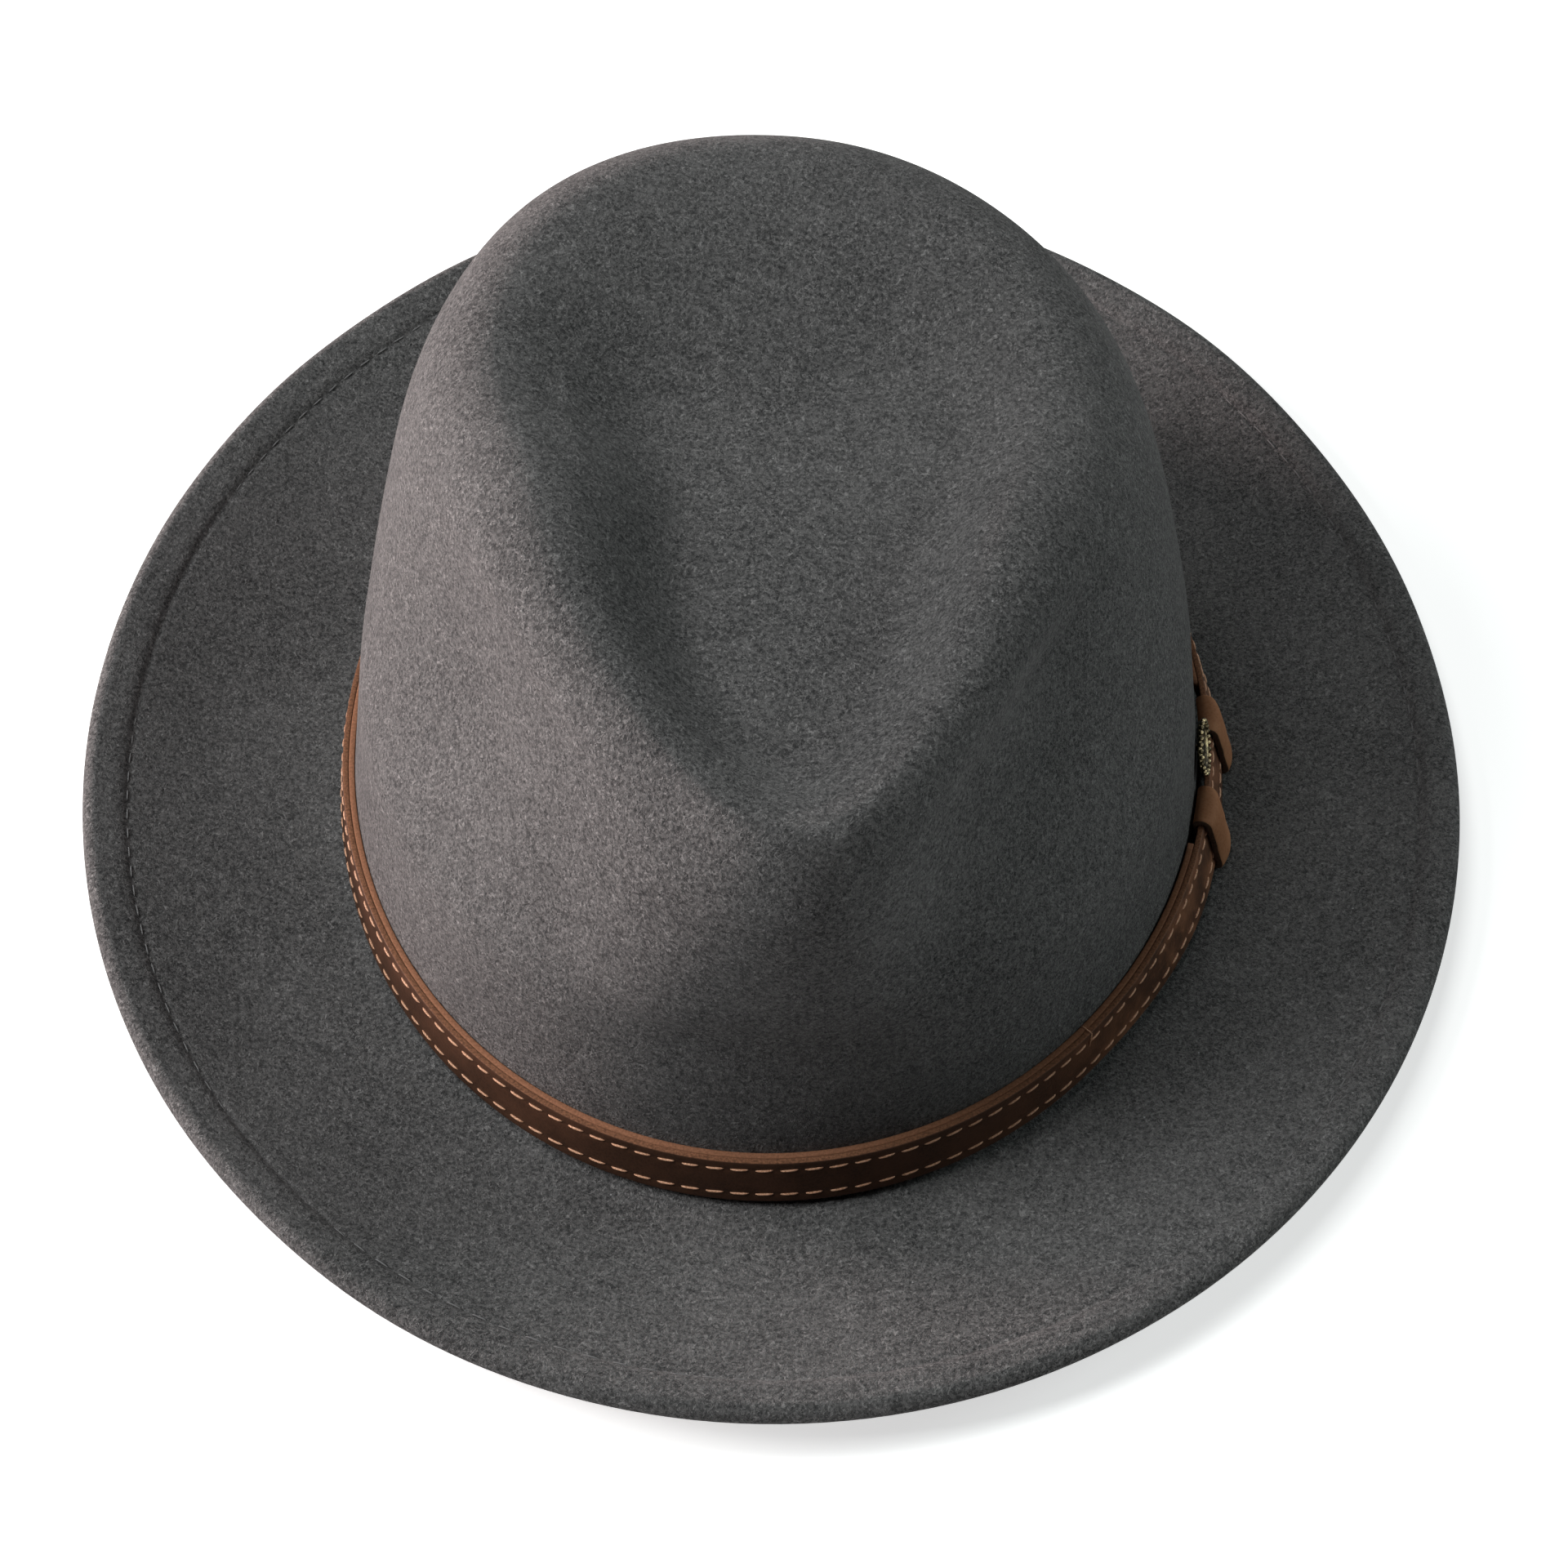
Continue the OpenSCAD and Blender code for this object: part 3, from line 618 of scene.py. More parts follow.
# %% [markdown]
# The two loops are soft leather keepers: a strip bent round the band and closed behind it, so
# each is a thick-walled ring with round shoulders, spun a short way about the closure's own
# middle. The ends are cut, darker than the face, and their edges a little worn, which a bevel
# gives. Leather that was pulled over the band bulges between its ends.

# %% Loops
def sharp_edges(bm, angle):
    return [e for e in bm.edges if len(e.link_faces) == 2 and e.calc_face_angle() > angle]


def leather_loop(name, d):
    bm = bmesh.new()
    front = face_n + face_t + thread_d / 2 + loop_gap + loop_t
    section_face(bm, loop_floor, front, loop_low, loop_high, 2 * mm, 5)
    bmesh.ops.inset_individual(bm, faces=list(bm.faces), thickness=loop_t)
    inner = max(bm.faces, key=lambda f: len(f.verts))
    inner_points = list(inner.verts)
    bmesh.ops.delete(bm, geom=[inner], context="FACES_ONLY")
    middle = plain_r + (loop_floor + front) / 2
    for v in inner_points:
        if v.co.x < middle:
            v.co.x -= loop_t - loop_back_t
    for v in bm.verts:
        v.co.x += arc_r - plain_r
    split_long_edges(bm, 0.9 * mm)
    start = arc_turn(closure_d + d - loop_l / 2)
    spin_strip(bm, start, arc_turn(loop_l), 16)
    bmesh.ops.recalc_face_normals(bm, faces=bm.faces)
    bmesh.ops.bevel(bm, geom=sharp_edges(bm, math.radians(60)), offset=0.22 * mm, segments=2,
                    affect="EDGES", profile=0.5, material=-1)
    mark_cut(bm, out(start + arc_turn(loop_l) / 2 + 90, 1, 0))
    for v in bm.verts:
        angle = math.degrees(math.atan2(v.co.y, v.co.x))
        n = math.hypot(v.co.x, v.co.y) - arc_r
        share = (angle - start) / arc_turn(loop_l)
        outer = smooth((n - face_n) / (face_t + loop_t))
        bulge = outer * (1.1 * max(0, math.sin(math.pi * share)) ** 0.7 - 0.4) * mm
        z = v.co.z + outer * 0.25 * mm * (2 * (v.co.z > band_z + band_h / 2) - 1)
        r = arc_r - wall_lean * (v.co.z - top_z) + lean_out(v.co.z) + n + bulge
        v.co = out(angle, r, z) + Vector((arc_x, 0, 0))
    return finished(name + "_leather", bm, body=name, replaces=[name])


loops = [leather_loop("front_loop", -loop_spacing / 2), leather_loop("rear_loop", loop_spacing / 2)]

# %% [markdown]
# The badge is a small cast oval with a beaded rim, pinned through the felt over the closure.
# Its face is left plain: a shallow dome inside a raised line. It starts as a round face, which
# inset steps cut into rim, ditch and field, so the whole front is one surface.

# %% Badge
badge_l, badge_h, badge_t, bead_d, bead_count = 14 * mm, 8.5 * mm, 1.2 * mm, 1.1 * mm, 26
badge_gap, pin_d = 0.3 * mm, 1.2 * mm
badge_tilt = math.atan(closure_lean) - math.atan(wall_lean)
badge_z = band_top + badge_gap + badge_h / 2
badge_stand = badge_gap + badge_h / 2 * math.sin(badge_tilt)


def on_side(z, n):
    """Places a piece drawn on the XY plane on the crown's side, with its +Z outwards."""
    return (Matrix.Translation((arc_x, 0, 0))
            @ Matrix.Rotation(math.radians(arc_turn(closure_d)), 4, "Z")
            @ Matrix.Translation((arc_r - wall_lean * (z - top_z) + n, 0, z))
            @ Matrix.Rotation(-math.atan(wall_lean), 4, "Y")
            @ Matrix.Rotation(math.pi / 2, 4, "Z") @ Matrix.Rotation(math.pi / 2, 4, "X"))


def oval_badge():
    bm = bmesh.new()
    half_l, half_h = (badge_l - bead_d) / 2, (badge_h - bead_d) / 2
    bmesh.ops.create_circle(bm, cap_ends=True, segments=72, radius=1)
    back = list(bm.faces)
    front = bmesh.ops.extrude_face_region(bm, geom=back, use_keep_orig=True)["geom"]
    bmesh.ops.translate(bm, verts=[g for g in front if isinstance(g, bmesh.types.BMVert)],
                        vec=(0, 0, badge_t * 0.75))
    field = [g for g in front if isinstance(g, bmesh.types.BMFace)]
    # thickness and depth of each step inwards: rim, ditch, raised line, field, dome
    for width, lift in ((0.7, 0.0), (0.12, -0.35), (0.3, 0.0), (0.1, 0.22), (0.2, 0.0),
                        (0.12, -0.2), (0.5, 0.16), (0.6, 0.12), (0.7, 0.06)):
        bmesh.ops.inset_region(bm, faces=field, thickness=width * mm / half_h, depth=lift * mm,
                               use_even_offset=True)
    bmesh.ops.scale(bm, vec=(half_l, half_h, 1), verts=bm.verts)
    bmesh.ops.recalc_face_normals(bm, faces=bm.faces)
    for k in range(bead_count):
        a = 360 * k / bead_count
        bead = Matrix.Translation((half_l * cos_d(a), half_h * sin_d(a), badge_t - bead_d / 4))
        bmesh.ops.create_uvsphere(bm, u_segments=10, v_segments=8, radius=bead_d / 2, matrix=bead)
    bmesh.ops.transform(bm, matrix=Matrix.Rotation(-badge_tilt, 4, "X"), verts=bm.verts)
    pin_l = badge_stand + felt_t + sweat_gap - 0.12 * mm
    bmesh.ops.create_cone(bm, cap_ends=True, segments=24, radius1=pin_d / 2, radius2=pin_d / 2,
                          depth=pin_l, matrix=Matrix.Translation((0, 0, -pin_l / 2)))
    bmesh.ops.transform(bm, matrix=on_side(badge_z, badge_stand), verts=bm.verts)
    return finished("badge_casting", bm, replaces=["badge"])


badge = oval_badge()

# %% [markdown]
# Inside, a sweatband of thin leather stands all round the opening. Its ends meet at the back
# under a small bow, a row of stitches holds the covered cord at its lower edge, and it bows in a
# little between its edges. It is a strip spun like the band, with its place inside the felt.

# %% Sweatband, reed, stitches
sweat_h, reed_d = 34 * mm, 2 * mm
sweat_n = felt_t + sweat_gap
sweat_z = reed_d + 0.6 * mm
reed_z = reed_d / 2 + 0.4 * mm
seam_half = 0.15


def beside_sweat(phi, z, n):
    """Inside the felt; n is measured inwards from the sweatband's outer face."""
    share = min(1, max(0, (z - sweat_z) / sweat_h))
    return beside_wall(phi, z, -sweat_n - n - 0.5 * mm * math.sin(math.pi * share))


def covered_reed():
    bm = bmesh.new()
    n = sweat_n + reed_d / 2 - 0.2 * mm
    bmesh.ops.create_circle(bm, segments=12, radius=reed_d / 2,
                            matrix=Matrix.Translation((plain_r - n, 0, reed_z))
                            @ Matrix.Rotation(math.pi / 2, 4, "X"))
    bmesh.ops.spin(bm, geom=list(bm.verts) + list(bm.edges), cent=(0, 0, 0), axis=(0, 0, 1),
                   angle=math.tau, steps=200, use_merge=True, use_duplicate=False)
    lay(bm, beside_wall)
    return finished("sweatband_covered_reed", bm,
                    replaces=["sweatband_reed"])


sweatband = leather_strip("sweatband_leather", "sweatband",
                          (0, sweat_t, sweat_z, sweat_z + sweat_h, 0.4 * mm),
                          (90 + seam_half, 360 - 2 * seam_half), (2.5 * mm, 1.5), beside_sweat)
reed = covered_reed()
sweat_thread = stitch_row("sweatband_thread", "sweatband_stitching", sweat_z + row_inset,
                          sweat_count, 0.62, sweat_t, 0.42 * mm, beside_sweat,
                          0, 4)

# %% [markdown]
# The bow at the back is a flat ribbon folded into two loops and held by a turn of the same
# ribbon. Each loop is a grid bent round into a flat teardrop, narrower where it is gathered,
# and solidify gives the ribbon its thickness.

# %% Bow
bow_w, bow_h, bow_t = 24 * mm, 8 * mm, 1.6 * mm
bow_z = sweat_z + row_inset + bow_h / 2 + 1 * mm
ribbon_t = 0.3 * mm


def ribbon_loop(bm, side):
    made = bmesh.ops.create_grid(bm, x_segments=40, y_segments=8, size=1)["verts"]
    for v in made:
        u, w = (v.co.x + 1) / 2, v.co.y
        reach = math.sin(math.pi * u)
        width = bow_h / 2 * (0.38 + 0.62 * smooth(reach * 1.6))
        pucker = 0.18 * mm * math.cos(3 * math.pi * w) * (1 - reach)
        v.co = Vector((side * bow_w / 2 * reach ** 0.8, w * width,
                       bow_t / 2 - 0.45 * bow_t * math.sin(math.tau * u) * reach ** 0.5 + pucker))
    return made


def sweatband_bow():
    bm = bmesh.new()
    for side in (-1, 1):
        ribbon_loop(bm, side)
    knot = bmesh.ops.create_uvsphere(bm, u_segments=20, v_segments=12, radius=1)["verts"]
    for v in knot:
        fold = 1 + 0.06 * math.cos(8 * math.atan2(v.co.z, v.co.x))
        v.co = Vector((v.co.x * 1.7 * mm * fold, v.co.y * bow_h * 0.3,
                       bow_t / 2 + v.co.z * bow_t * 0.62 * fold))
    bmesh.ops.recalc_face_normals(bm, faces=bm.faces)
    ribbon = [f for f in bm.faces if not set(f.verts) & set(knot)]
    bmesh.ops.solidify(bm, geom=ribbon, thickness=ribbon_t)
    behind = base_b - wall_lean * (bow_z - top_z) - sweat_n - sweat_t - 1.4 * mm
    frame_at = Matrix.Translation((0, behind, bow_z)) @ Matrix.Rotation(
        math.pi / 2 + math.atan(wall_lean), 4, "X")
    for v in bm.verts:
        v.co.z -= v.co.x ** 2 * base_b / base_a ** 2 / 2
    bmesh.ops.transform(bm, matrix=frame_at, verts=bm.verts)
    return finished("sweatband_ribbon_bow", bm, replaces=["sweatband_bow"])


bow = sweatband_bow()

# %% [markdown]
# The lining is satin: a side panel that is tucked behind the sweatband and runs up the wall, and
# an oval tip panel under the dent. Cloth cut flat and sewn into a crown falls into fine gathers
# at the seam. It is blocked like the felt, from a tube of rings, and ripples inwards only, so
# that it never meets the felt. Cloth spans a sharp hollow instead of following it, so its points
# are smoothed after blocking, except along its edges.

# %% Lining
lining_t, lining_depth, lining_steps = 0.4 * mm, felt_t + 0.4 * mm, 320
seam_q, tuck_z = 0.6, sweat_z + sweat_h - 6 * mm
gathers, gather_depth, slack_depth, smoothing = 64, 0.7 * mm, 0.8 * mm, 10


def ripple(phi, q):
    """Depth of the gathers: deepest at the seam, fading down the side and into the tip."""
    near = math.exp(-abs(q - seam_q) / 0.45) * min(1, q / seam_q)
    wave = 0.5 + 0.5 * math.cos(math.radians(phi * gathers) + 2.2 * sin_d(7 * phi))
    slack = 0.5 + 0.5 * sin_d(5 * phi + 60 * q)
    return gather_depth * near * wave + slack_depth * slack * smooth((q - 1) / 0.5)


def lining_ring(q):
    return lambda phi: inside(phi, q, lining_depth + lining_t + ripple(phi, q))


def lining_foot(z):
    return lambda phi: beside_wall(phi, z, -lining_depth - lining_t)


def lining_panel(name, rings, node):
    bm = spun_tube(rings, lining_steps)
    loose = [v for v in bm.verts if not v.is_boundary]
    for _ in range(smoothing):
        bmesh.ops.smooth_vert(bm, verts=loose, factor=0.5, use_axis_x=True, use_axis_y=True,
                              use_axis_z=True)
    for f in bm.faces:
        f.smooth = True
    centre = Vector((0, 0, wall_z))
    inward = sum((f.normal.dot(centre - f.calc_center_median()) for f in bm.faces), 0.0)
    if inward < 0:
        bmesh.ops.reverse_faces(bm, faces=bm.faces)
    area = sum(f.calc_area() for f in bm.faces)
    bmesh.ops.solidify(bm, geom=list(bm.faces), thickness=lining_t * 0.75)
    return finished(name, bm, replaces=[node]), area


side_rings = [lining_ring(q) for q in shares(44, seam_q + 0.004, 2)]
side_rings += [lining_foot(mix(wall_z, tuck_z, s)) for s in shares(4)[1:]]
lining_side, side_area = lining_panel("lining_side_panel", side_rings, "lining_side")
tip_rings = [lining_ring(q) for q in shares(18, 0, seam_q)]
lining_tip, tip_area = lining_panel("lining_tip_panel", tip_rings, "lining_tip")


def length(points):
    return sum((b - a).length for a, b in zip(points, points[1:]))


def way_up(rings, phi):
    """Length of the cloth along one direction, over all its rings."""
    return length([ring(phi) for ring in rings])


side_flat = (way_up(side_rings, 0), length([side_rings[-1](a) for a in range(0, 361, 3)]))
tip_flat = (2 * way_up(tip_rings, 0), way_up(tip_rings, 90) + way_up(tip_rings, FRONT))
min(side_area, side_flat[0] * side_flat[1])
print("lining cut sizes:", [round(x, 3) for x in side_flat + tip_flat],
      "areas", round(side_area, 4), round(tip_area, 4))

# %% [markdown]
# Finishes are made from nodes. Sums of masks are easier to read as expressions than as boxes,
# so a small class wraps a socket and turns each operator into its Math node. Colours and vectors
# go through Mix and Vector Math, and any other node comes from one method. The world has nodes
# too, so what it shares with a material stands in a class of its own.

# %% A way to write finishes
class Value:
    """A socket that carries a number, a colour or a vector."""

    def __init__(self, finish, socket):
        self.finish = finish
        self.socket = socket

    def maths(self, operation, *values):
        return self.finish.node("ShaderNodeMath", {"operation": operation},
                                dict(enumerate(values)))

    def __add__(self, other):
        return self.maths("ADD", self, other)

    def __sub__(self, other):
        return self.maths("SUBTRACT", self, other)

    def __rsub__(self, other):
        return self.maths("SUBTRACT", other, self)

    def __mul__(self, other):
        return self.maths("MULTIPLY", self, other)

    __radd__ = __add__
    __rmul__ = __mul__

    def above(self, start, end):
        """0 below start, 1 above end, smooth between."""
        return self.finish.node("ShaderNodeMapRange", {"interpolation_type": "SMOOTHSTEP"},
                                {"Value": self, "From Min": start, "From Max": end})

    def near(self, middle, width):
        """1 at middle, 0 beyond width on both sides."""
        away = self.maths("ABSOLUTE", self - middle)
        return 1 - away.above(0, width)


class Nodes:
    """A node tree, of a material or of the world, that expressions on its values add to."""

    def __init__(self, tree):
        self.tree = tree

    def node(self, kind, settings=(), sockets=(), output=0):
        made = self.tree.nodes.new(kind)
        for key, value in dict(settings).items():
            setattr(made, key, value)
        for key, value in dict(sockets).items():
            if isinstance(value, Value):
                self.tree.links.new(value.socket, made.inputs[key])
            else:
                made.inputs[key].default_value = value
        return Value(self, made.outputs[output])

    def seen_straight(self):
        """1 for rays from the camera, a mirror or glass, 0 for light that falls on things."""
        camera, mirror, glass = [self.node("ShaderNodeLightPath", output="Is %s Ray" % kind)
                                 for kind in ("Camera", "Glossy", "Transmission")]
        return camera.maths("MAXIMUM", camera.maths("MAXIMUM", camera, mirror), glass)

    def tint(self, factor, first, second):
        """A colour that goes from first to second as factor goes from 0 to 1."""
        made = self.tree.nodes.new("ShaderNodeMix")
        made.data_type = "RGBA"
        for key, value in (("Factor_Float", factor), ("A_Color", first), ("B_Color", second)):
            socket = next(s for s in made.inputs if s.identifier == key)
            if isinstance(value, Value):
                self.tree.links.new(value.socket, socket)
            else:
                socket.default_value = value if key == "Factor_Float" else (*value, 1)
        return Value(self, next(s for s in made.outputs if s.identifier == "Result_Color"))


class Finish(Nodes):
    """One material: a Principled shader and the nodes that feed it."""

    def __init__(self, name, **uniform):
        self.material = bpy.data.materials.new(name)
        self.material.use_nodes = True
        super().__init__(self.material.node_tree)
        self.shader = self.tree.nodes["Principled BSDF"]
        for socket, value in uniform.items():
            self.shader.inputs[socket.replace("_", " ")].default_value = value

    def place(self):
        return self.node("ShaderNodeTexCoord", output="Object")

    def along(self, axis):
        return self.node("ShaderNodeSeparateXYZ", {}, {0: self.place()}, output=axis)

    def attribute(self, name):
        return self.node("ShaderNodeAttribute", {"attribute_name": name}, output="Fac")

    def noise(self, size, detail=2.0, roughness=0.5, distortion=0.0, at=None):
        """Noise whose grains are about size metres across."""
        return self.node("ShaderNodeTexNoise", {}, {
            "Vector": at or self.place(), "Scale": 1 / size, "Detail": detail,
            "Roughness": roughness, "Distortion": distortion})

    def cells(self, size, output="Distance"):
        """Cells about size metres across: how far their middles are, or a colour for each."""
        return self.node("ShaderNodeTexVoronoi", {}, {"Vector": self.place(), "Scale": 1 / size},
                         output=output)

    def stretched(self, x, y, z):
        return self.node("ShaderNodeVectorMath", {"operation": "MULTIPLY"},
                         {0: self.place(), 1: (x, y, z)})

    def feed(self, **inputs):
        for socket, value in inputs.items():
            self.tree.links.new(value.socket, self.shader.inputs[socket.replace("_", " ")])

    def bump(self, height, depth, strength=1.0):
        """A relief of that depth in metres, on top of one made before."""
        sockets = {"Height": height, "Distance": depth, "Strength": strength}
        before = self.shader.inputs["Normal"]
        if before.is_linked:
            sockets["Normal"] = Value(self, before.links[0].from_socket)
        self.feed(Normal=self.node("ShaderNodeBump", {}, sockets))


def coat(finish, *pieces):
    """Gives pieces a finish in every material slot."""
    for piece in pieces:
        piece.data.materials.clear()
        piece.data.materials.append(finish.material)


# %% [markdown]
# Wool felt is a mat of curly fibres: at arm's length a soft grey with a fine mottle, close up
# light fibres over dark gaps, with a few pale hairs. Three sizes of noise give that, the curls
# from the thin line where a warped noise crosses its middle value, and sheen gives the pale bloom
# where the nap is seen edge-on.

# %% Felt
def felt_finish():
    f = Finish("grey_wool_felt", Roughness=1.0, Specular_IOR_Level=0.05, Sheen_Weight=0.12,
               Sheen_Roughness=0.4, Sheen_Tint=(0.8, 0.74, 0.74, 1))
    curls = f.noise(1.5 * mm, 1, 0.5, 1.6).near(0.5, 0.045)
    more_curls = f.noise(1.1 * mm, 1, 0.5, 1.3).near(0.46, 0.045)
    fibres = (curls + more_curls).maths("MINIMUM", curls + more_curls, 1.0)
    grain = f.noise(0.8 * mm, 2, 0.7).above(0.35, 0.65)
    gaps = f.noise(0.9 * mm, 2, 0.6).above(0.56, 0.66)
    mottle = f.noise(4 * mm, 3, 0.6).above(0.3, 0.7)
    cloud = f.noise(38 * mm, 2, 0.5).above(0.3, 0.7)
    shade = 0.36 * grain + 0.46 * fibres + 0.09 * mottle + 0.09 * cloud
    colour = f.tint(shade - gaps * 0.1, (0.034, 0.034, 0.035), (0.27, 0.26, 0.26))
    specks = 1 - f.cells(2.6 * mm).above(0.05, 0.09)
    few = f.cells(2.6 * mm, output="Color").above(0.8, 0.82)
    colour = f.tint(specks * few * 0.7, colour, (0.45, 0.44, 0.45))
    f.feed(Base_Color=colour)
    f.bump(mottle, 0.2 * mm, 0.4)
    f.bump(grain * 0.4 + fibres * 0.6 - gaps * 0.3, 0.22 * mm, 1.0)
    return f


coat(felt_finish(), felt)
thread_grey = Finish("grey_sewing_thread", Roughness=0.9, Specular_IOR_Level=0.2)
thread_grey.feed(Base_Color=thread_grey.tint(thread_grey.noise(0.6 * mm), (0.13, 0.125, 0.13),
                                             (0.24, 0.235, 0.235)))
coat(thread_grey, brim_thread)

# %% [markdown]
# The band's face is smooth oiled leather, nearly black-brown where it lies in shade of its own
# oil and redder where it was rubbed. Its cut edges are raw: paler, fibrous and drier. The points
# carry which is which as an attribute, so the finish can change over a bevel.

# %% Leathers
def leather_finish(name, deep, rubbed, raw_dark, raw_light, grain, gloss, strap=None):
    f = Finish(name, Roughness=gloss, Specular_IOR_Level=0.15)
    patches = f.noise(9 * mm, 3, 0.6).above(0.35, 0.7)
    pores = f.cells(grain)
    wear = f.noise(1.6 * mm, 3, 0.7).above(0.5, 0.75)
    face = f.tint(patches * 0.55 + wear * 0.25, deep, rubbed)
    face = f.tint(pores.above(0.25, 0.6) * 0.25, face, rubbed)
    if strap:
        face = f.tint(f.along("X").above(50 * mm, 86 * mm), face,
                      f.tint(patches * 0.5 + wear * 0.3, deep, strap))
    fibres = f.noise(0.5 * mm, 3, 0.7).above(0.3, 0.7)
    raw = f.tint(fibres, raw_dark, raw_light)
    cut = (f.attribute("cut") + (f.noise(0.7 * mm) - 0.5) * 0.3).above(0.35, 0.65)
    f.feed(Base_Color=f.tint(cut, face, raw), Roughness=(1 - cut) * gloss + cut * 0.85)
    f.bump(pores, 0.05 * mm, 0.5)
    f.bump(f.noise(0.35 * mm, 2, 0.6), 0.06 * mm, 0.4)
    return f


coat(leather_finish("oiled_brown_leather", (0.042, 0.02, 0.012), (0.1, 0.045, 0.026),
                    (0.1, 0.045, 0.025), (0.27, 0.12, 0.065), 0.6 * mm, 0.5,
                    strap=(0.34, 0.15, 0.08)), band_face)
coat(leather_finish("raw_tan_leather", (0.2, 0.088, 0.048), (0.3, 0.135, 0.075),
                    (0.2, 0.088, 0.048), (0.33, 0.15, 0.085), 0.5 * mm, 0.7), band_backing)
coat(leather_finish("soft_tan_leather", (0.27, 0.115, 0.055), (0.42, 0.2, 0.105),
                    (0.05, 0.03, 0.02), (0.09, 0.052, 0.034), 0.7 * mm, 0.72), *loops)
coat(leather_finish("sweatband_brown_leather", (0.1, 0.05, 0.03), (0.17, 0.09, 0.055),
                    (0.2, 0.11, 0.07), (0.32, 0.18, 0.11), 0.8 * mm, 0.42), sweatband)

# %% [markdown]
# Sewing thread is twisted, so light catches it in fine uneven bands, and waxed thread is
# slightly glossy. Ribbon is woven in ribs, and satin has long threads that lie one way.

# %% Threads, ribbon and satin
def thread_finish(name, dark, light, gloss):
    f = Finish(name, Roughness=gloss, Specular_IOR_Level=0.4)
    twist = f.noise(0.35 * mm, 2, 0.6, 0.5).above(0.3, 0.7)
    f.feed(Base_Color=f.tint(twist, dark, light))
    f.bump(twist, 0.06 * mm, 0.7)
    return f


def ribbed_finish(name, dark, light, gloss, rib, sheen):
    f = Finish(name, Roughness=gloss, Specular_IOR_Level=0.4, Sheen_Weight=sheen,
               Sheen_Roughness=0.3)
    x = f.along("X")
    ribs = x.maths("SINE", x * (math.tau / rib)) * 0.5 + 0.5
    tone = f.noise(3 * mm, 2).above(0.3, 0.7)
    f.feed(Base_Color=f.tint(tone * 0.6 + ribs * 0.3, dark, light))
    f.bump(ribs, 0.1 * mm, 0.6)
    return f


def satin_finish():
    f = Finish("grey_satin", Roughness=0.38, Specular_IOR_Level=0.5, Sheen_Weight=0.15)
    threads = f.noise(0.25 * mm, 1, 0.5, at=f.stretched(1, 1, 0.12))
    tone = f.noise(30 * mm, 2).above(0.3, 0.7)
    f.feed(Base_Color=f.tint(tone * 0.5 + threads * 0.4, (0.075, 0.075, 0.085),
                             (0.15, 0.15, 0.165)))
    f.bump(threads, 0.04 * mm, 0.5)
    return f


band_thread = thread_finish("waxed_peach_thread", (0.42, 0.2, 0.11), (0.8, 0.46, 0.3), 0.5)
coat(band_thread, *rows, tacks)
coat(thread_finish("buff_thread", (0.28, 0.2, 0.14), (0.5, 0.38, 0.28), 0.7), sweat_thread)
coat(ribbed_finish("black_grosgrain", (0.012, 0.012, 0.014), (0.035, 0.034, 0.038), 0.55,
                   0.8 * mm, 0.3), bow)
coat(satin_finish(), lining_side, lining_tip)

# %% [markdown]
# The badge is an old-looking cast metal: dark in patches and bright where it was rubbed. The
# same rubbing, seen close, is fine scratches. The hidden wire, washer and reed keep their packed
# shapes or plain sections and only need an honest finish.

# %% Metals and the reed
def metal_finish(name, dark, bright, gloss, scratch):
    f = Finish(name, Metallic=1.0)
    tarnish = f.noise(1.2 * mm, 3, 0.6).above(0.35, 0.7)
    lines = f.noise(0.2 * mm, 2, 0.6, at=f.stretched(1, 1, 6))
    f.feed(Base_Color=f.tint(tarnish, dark, bright), Roughness=tarnish * -0.15 + gloss)
    f.bump(lines, 0.02 * mm, scratch)
    return f


coat(metal_finish("antique_metal", (0.025, 0.022, 0.014), (0.36, 0.3, 0.17), 0.28, 0.2), badge)
steel = metal_finish("plain_steel", (0.5, 0.5, 0.51), (0.6, 0.6, 0.62), 0.45, 0.5)
coat(steel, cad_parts["brim_wire"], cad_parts["badge_washer"])
coat(ribbed_finish("reed_cover", (0.04, 0.032, 0.028), (0.075, 0.06, 0.05), 0.6, 1.2 * mm, 0.1),
     reed)

# %% [markdown]
# The hat lies on a plain white floor. A low warm lamp and a high plain one stand at the wearer's
# right, a weak cool one at the left, and one hangs above. There is hardly any even fill, so the
# lit side of the crown is pale and the front falls into soft shade.

# %% Floor, lights and camera
def floor_piece():
    bm = bmesh.new()
    bmesh.ops.create_grid(bm, x_segments=2, y_segments=2, size=3)
    mesh = bpy.data.meshes.new("floor")
    bm.to_mesh(mesh)
    bm.free()
    piece = bpy.data.objects.new("floor", mesh)
    bpy.context.scene.collection.objects.link(piece)
    f = Finish("white_floor", Roughness=1.0, Specular_IOR_Level=0.0, Emission_Strength=1.0,
               Base_Color=(0.88, 0.88, 0.88, 1))
    f.feed(Emission_Color=f.tint(f.seen_straight(), (0, 0, 0), (0.62, 0.62, 0.62)))
    piece.data.materials.append(f.material)


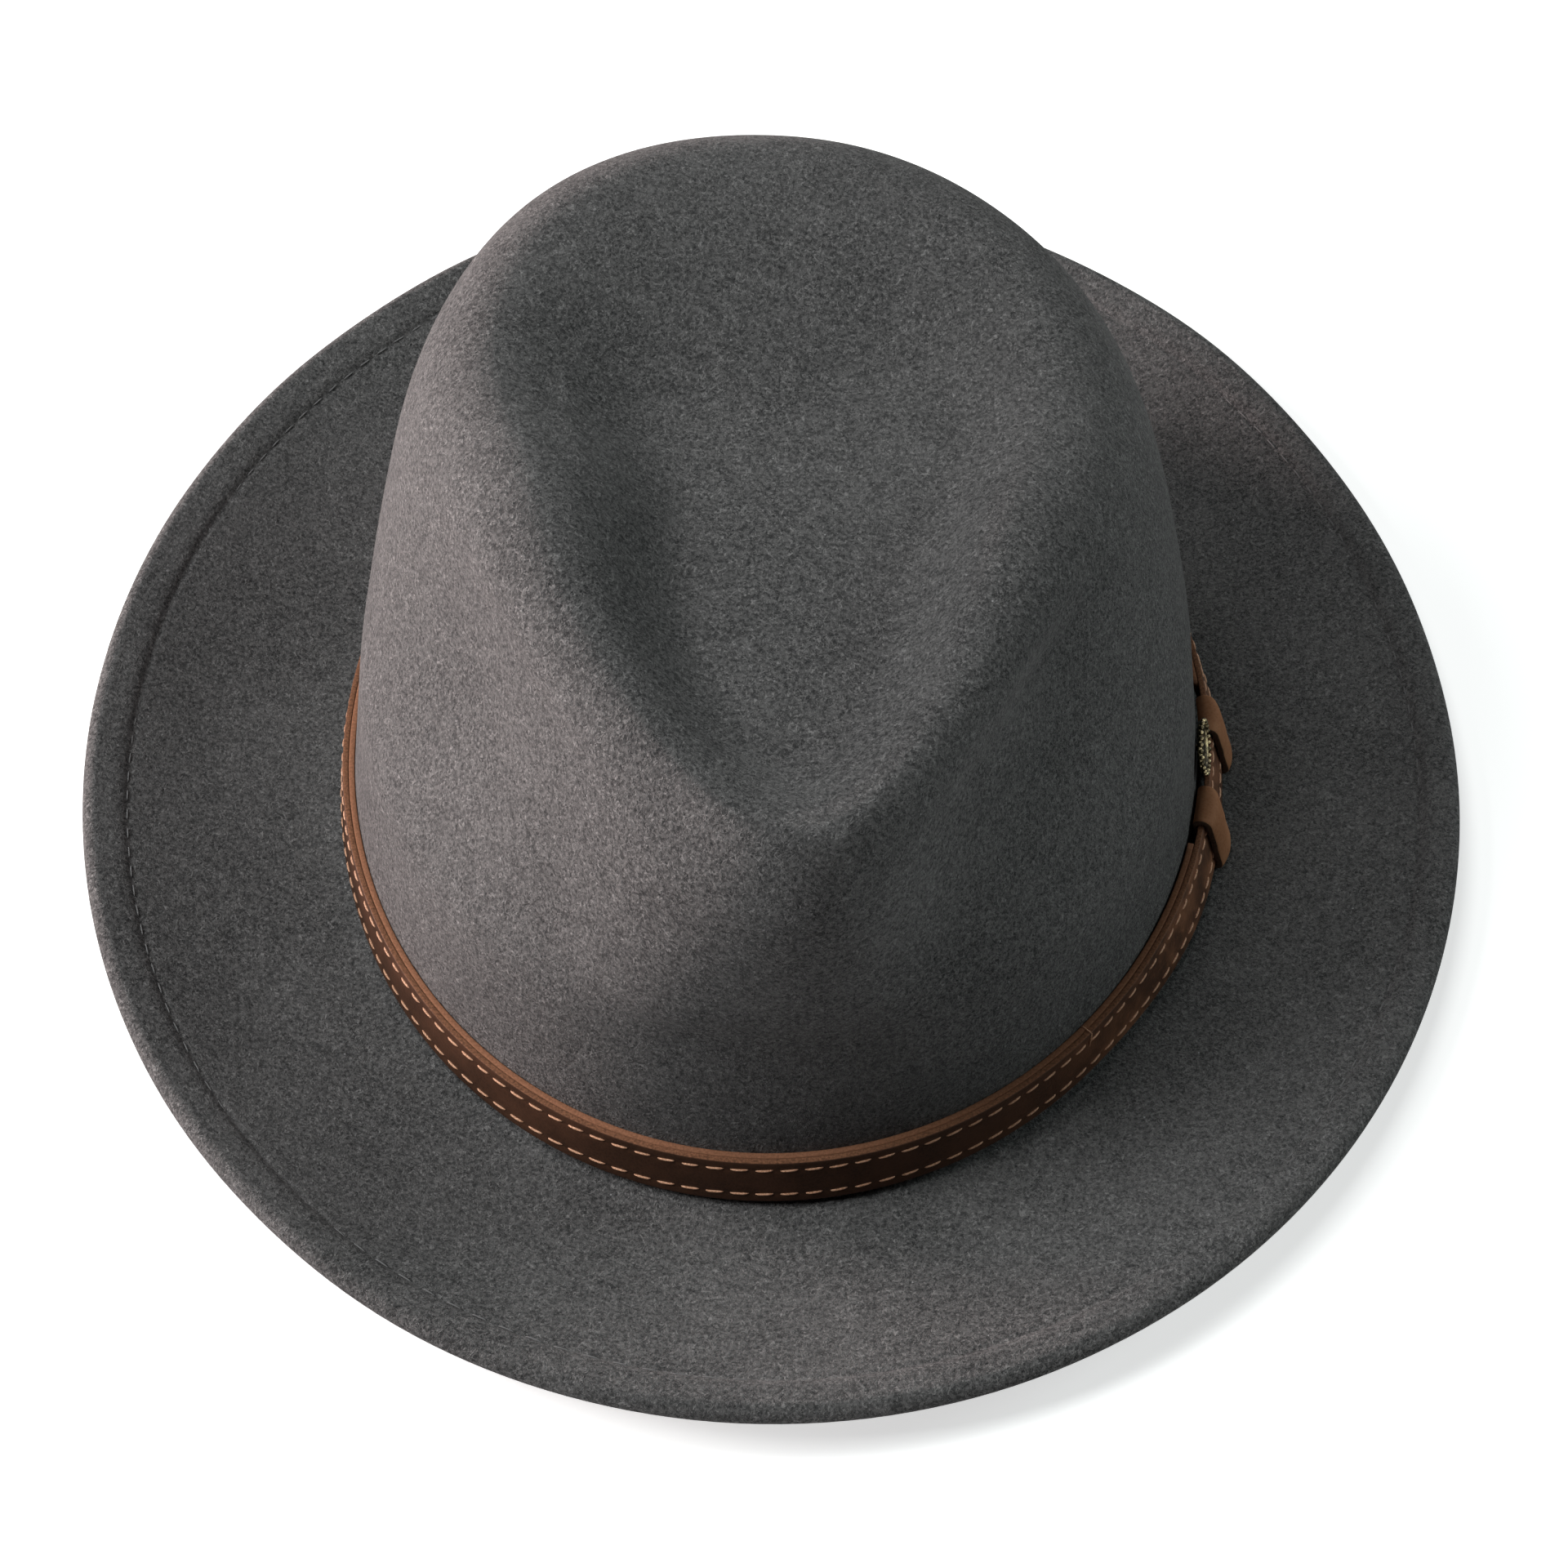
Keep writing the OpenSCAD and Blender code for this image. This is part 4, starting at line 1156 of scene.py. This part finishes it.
def way_to(azimuth, elevation):
    """The way from the hat to what stands at an azimuth: 0 the front, 90 the wearer's left."""
    return Vector((sin_d(azimuth) * cos_d(elevation), -cos_d(azimuth) * cos_d(elevation),
                   sin_d(elevation)))


def soft_lamp(name, azimuth, elevation, distance, wide, high, watts, colour):
    """An area light that looks at the middle of the crown."""
    lamp = bpy.data.lights.new(name, "AREA")
    lamp.shape = "RECTANGLE"
    lamp.size, lamp.size_y = wide, high
    lamp.energy = watts
    lamp.color = colour
    piece = bpy.data.objects.new(name, lamp)
    way = way_to(azimuth, elevation)
    piece.location = way * distance + Vector((0, 0, 0.05))
    piece.rotation_euler = way.to_track_quat("Z", "Y").to_euler()
    bpy.context.scene.collection.objects.link(piece)


def soft_world():
    """Hardly any even light, seen as plain white by the camera and in mirrors and glass."""
    world = bpy.data.worlds.new("even_fill")
    world.use_nodes = True
    n = Nodes(world.node_tree)
    fill = n.tint(n.seen_straight(), (0.004, 0.004, 0.004), (1, 1, 1))
    n.tree.links.new(fill.socket, n.tree.nodes["Background"].inputs["Color"])
    bpy.context.scene.world = world


floor_piece()
WARM, PLAIN, COOL = (1, 0.82, 0.79), (0.97, 1, 0.99), (0.86, 1, 0.97)
soft_lamp("key", 255, 4, 1.6, 0.45, 0.25, 36, WARM)
soft_lamp("high_right", 281, 42, 1.7, 0.7, 0.5, 18.5, PLAIN)
soft_lamp("low_left", 106, 22, 1.7, 0.6, 0.4, 7, COOL)
soft_lamp("top", 255, 72, 1.8, 0.7, 0.7, 10.5, PLAIN)
soft_world()
bpy.context.scene.view_settings.view_transform = "Standard"

camera_data = bpy.data.cameras.new("camera")
camera_data.lens = 75
camera_data.sensor_width = 36
camera = bpy.data.objects.new("camera", camera_data)
bpy.context.scene.collection.objects.link(camera)
bpy.context.scene.camera = camera
azimuth, elevation, distance = 2.4, 51.28, 0.689
target = Vector((1.5 * mm, 0, -5.4 * mm))
back = way_to(azimuth, elevation)
camera.location = target + back * distance
camera.rotation_mode = "QUATERNION"
camera.rotation_quaternion = back.to_track_quat("Z", "Y")
camera_data.clip_start = 0.05
print("camera at", [round(x, 4) for x in camera.location])
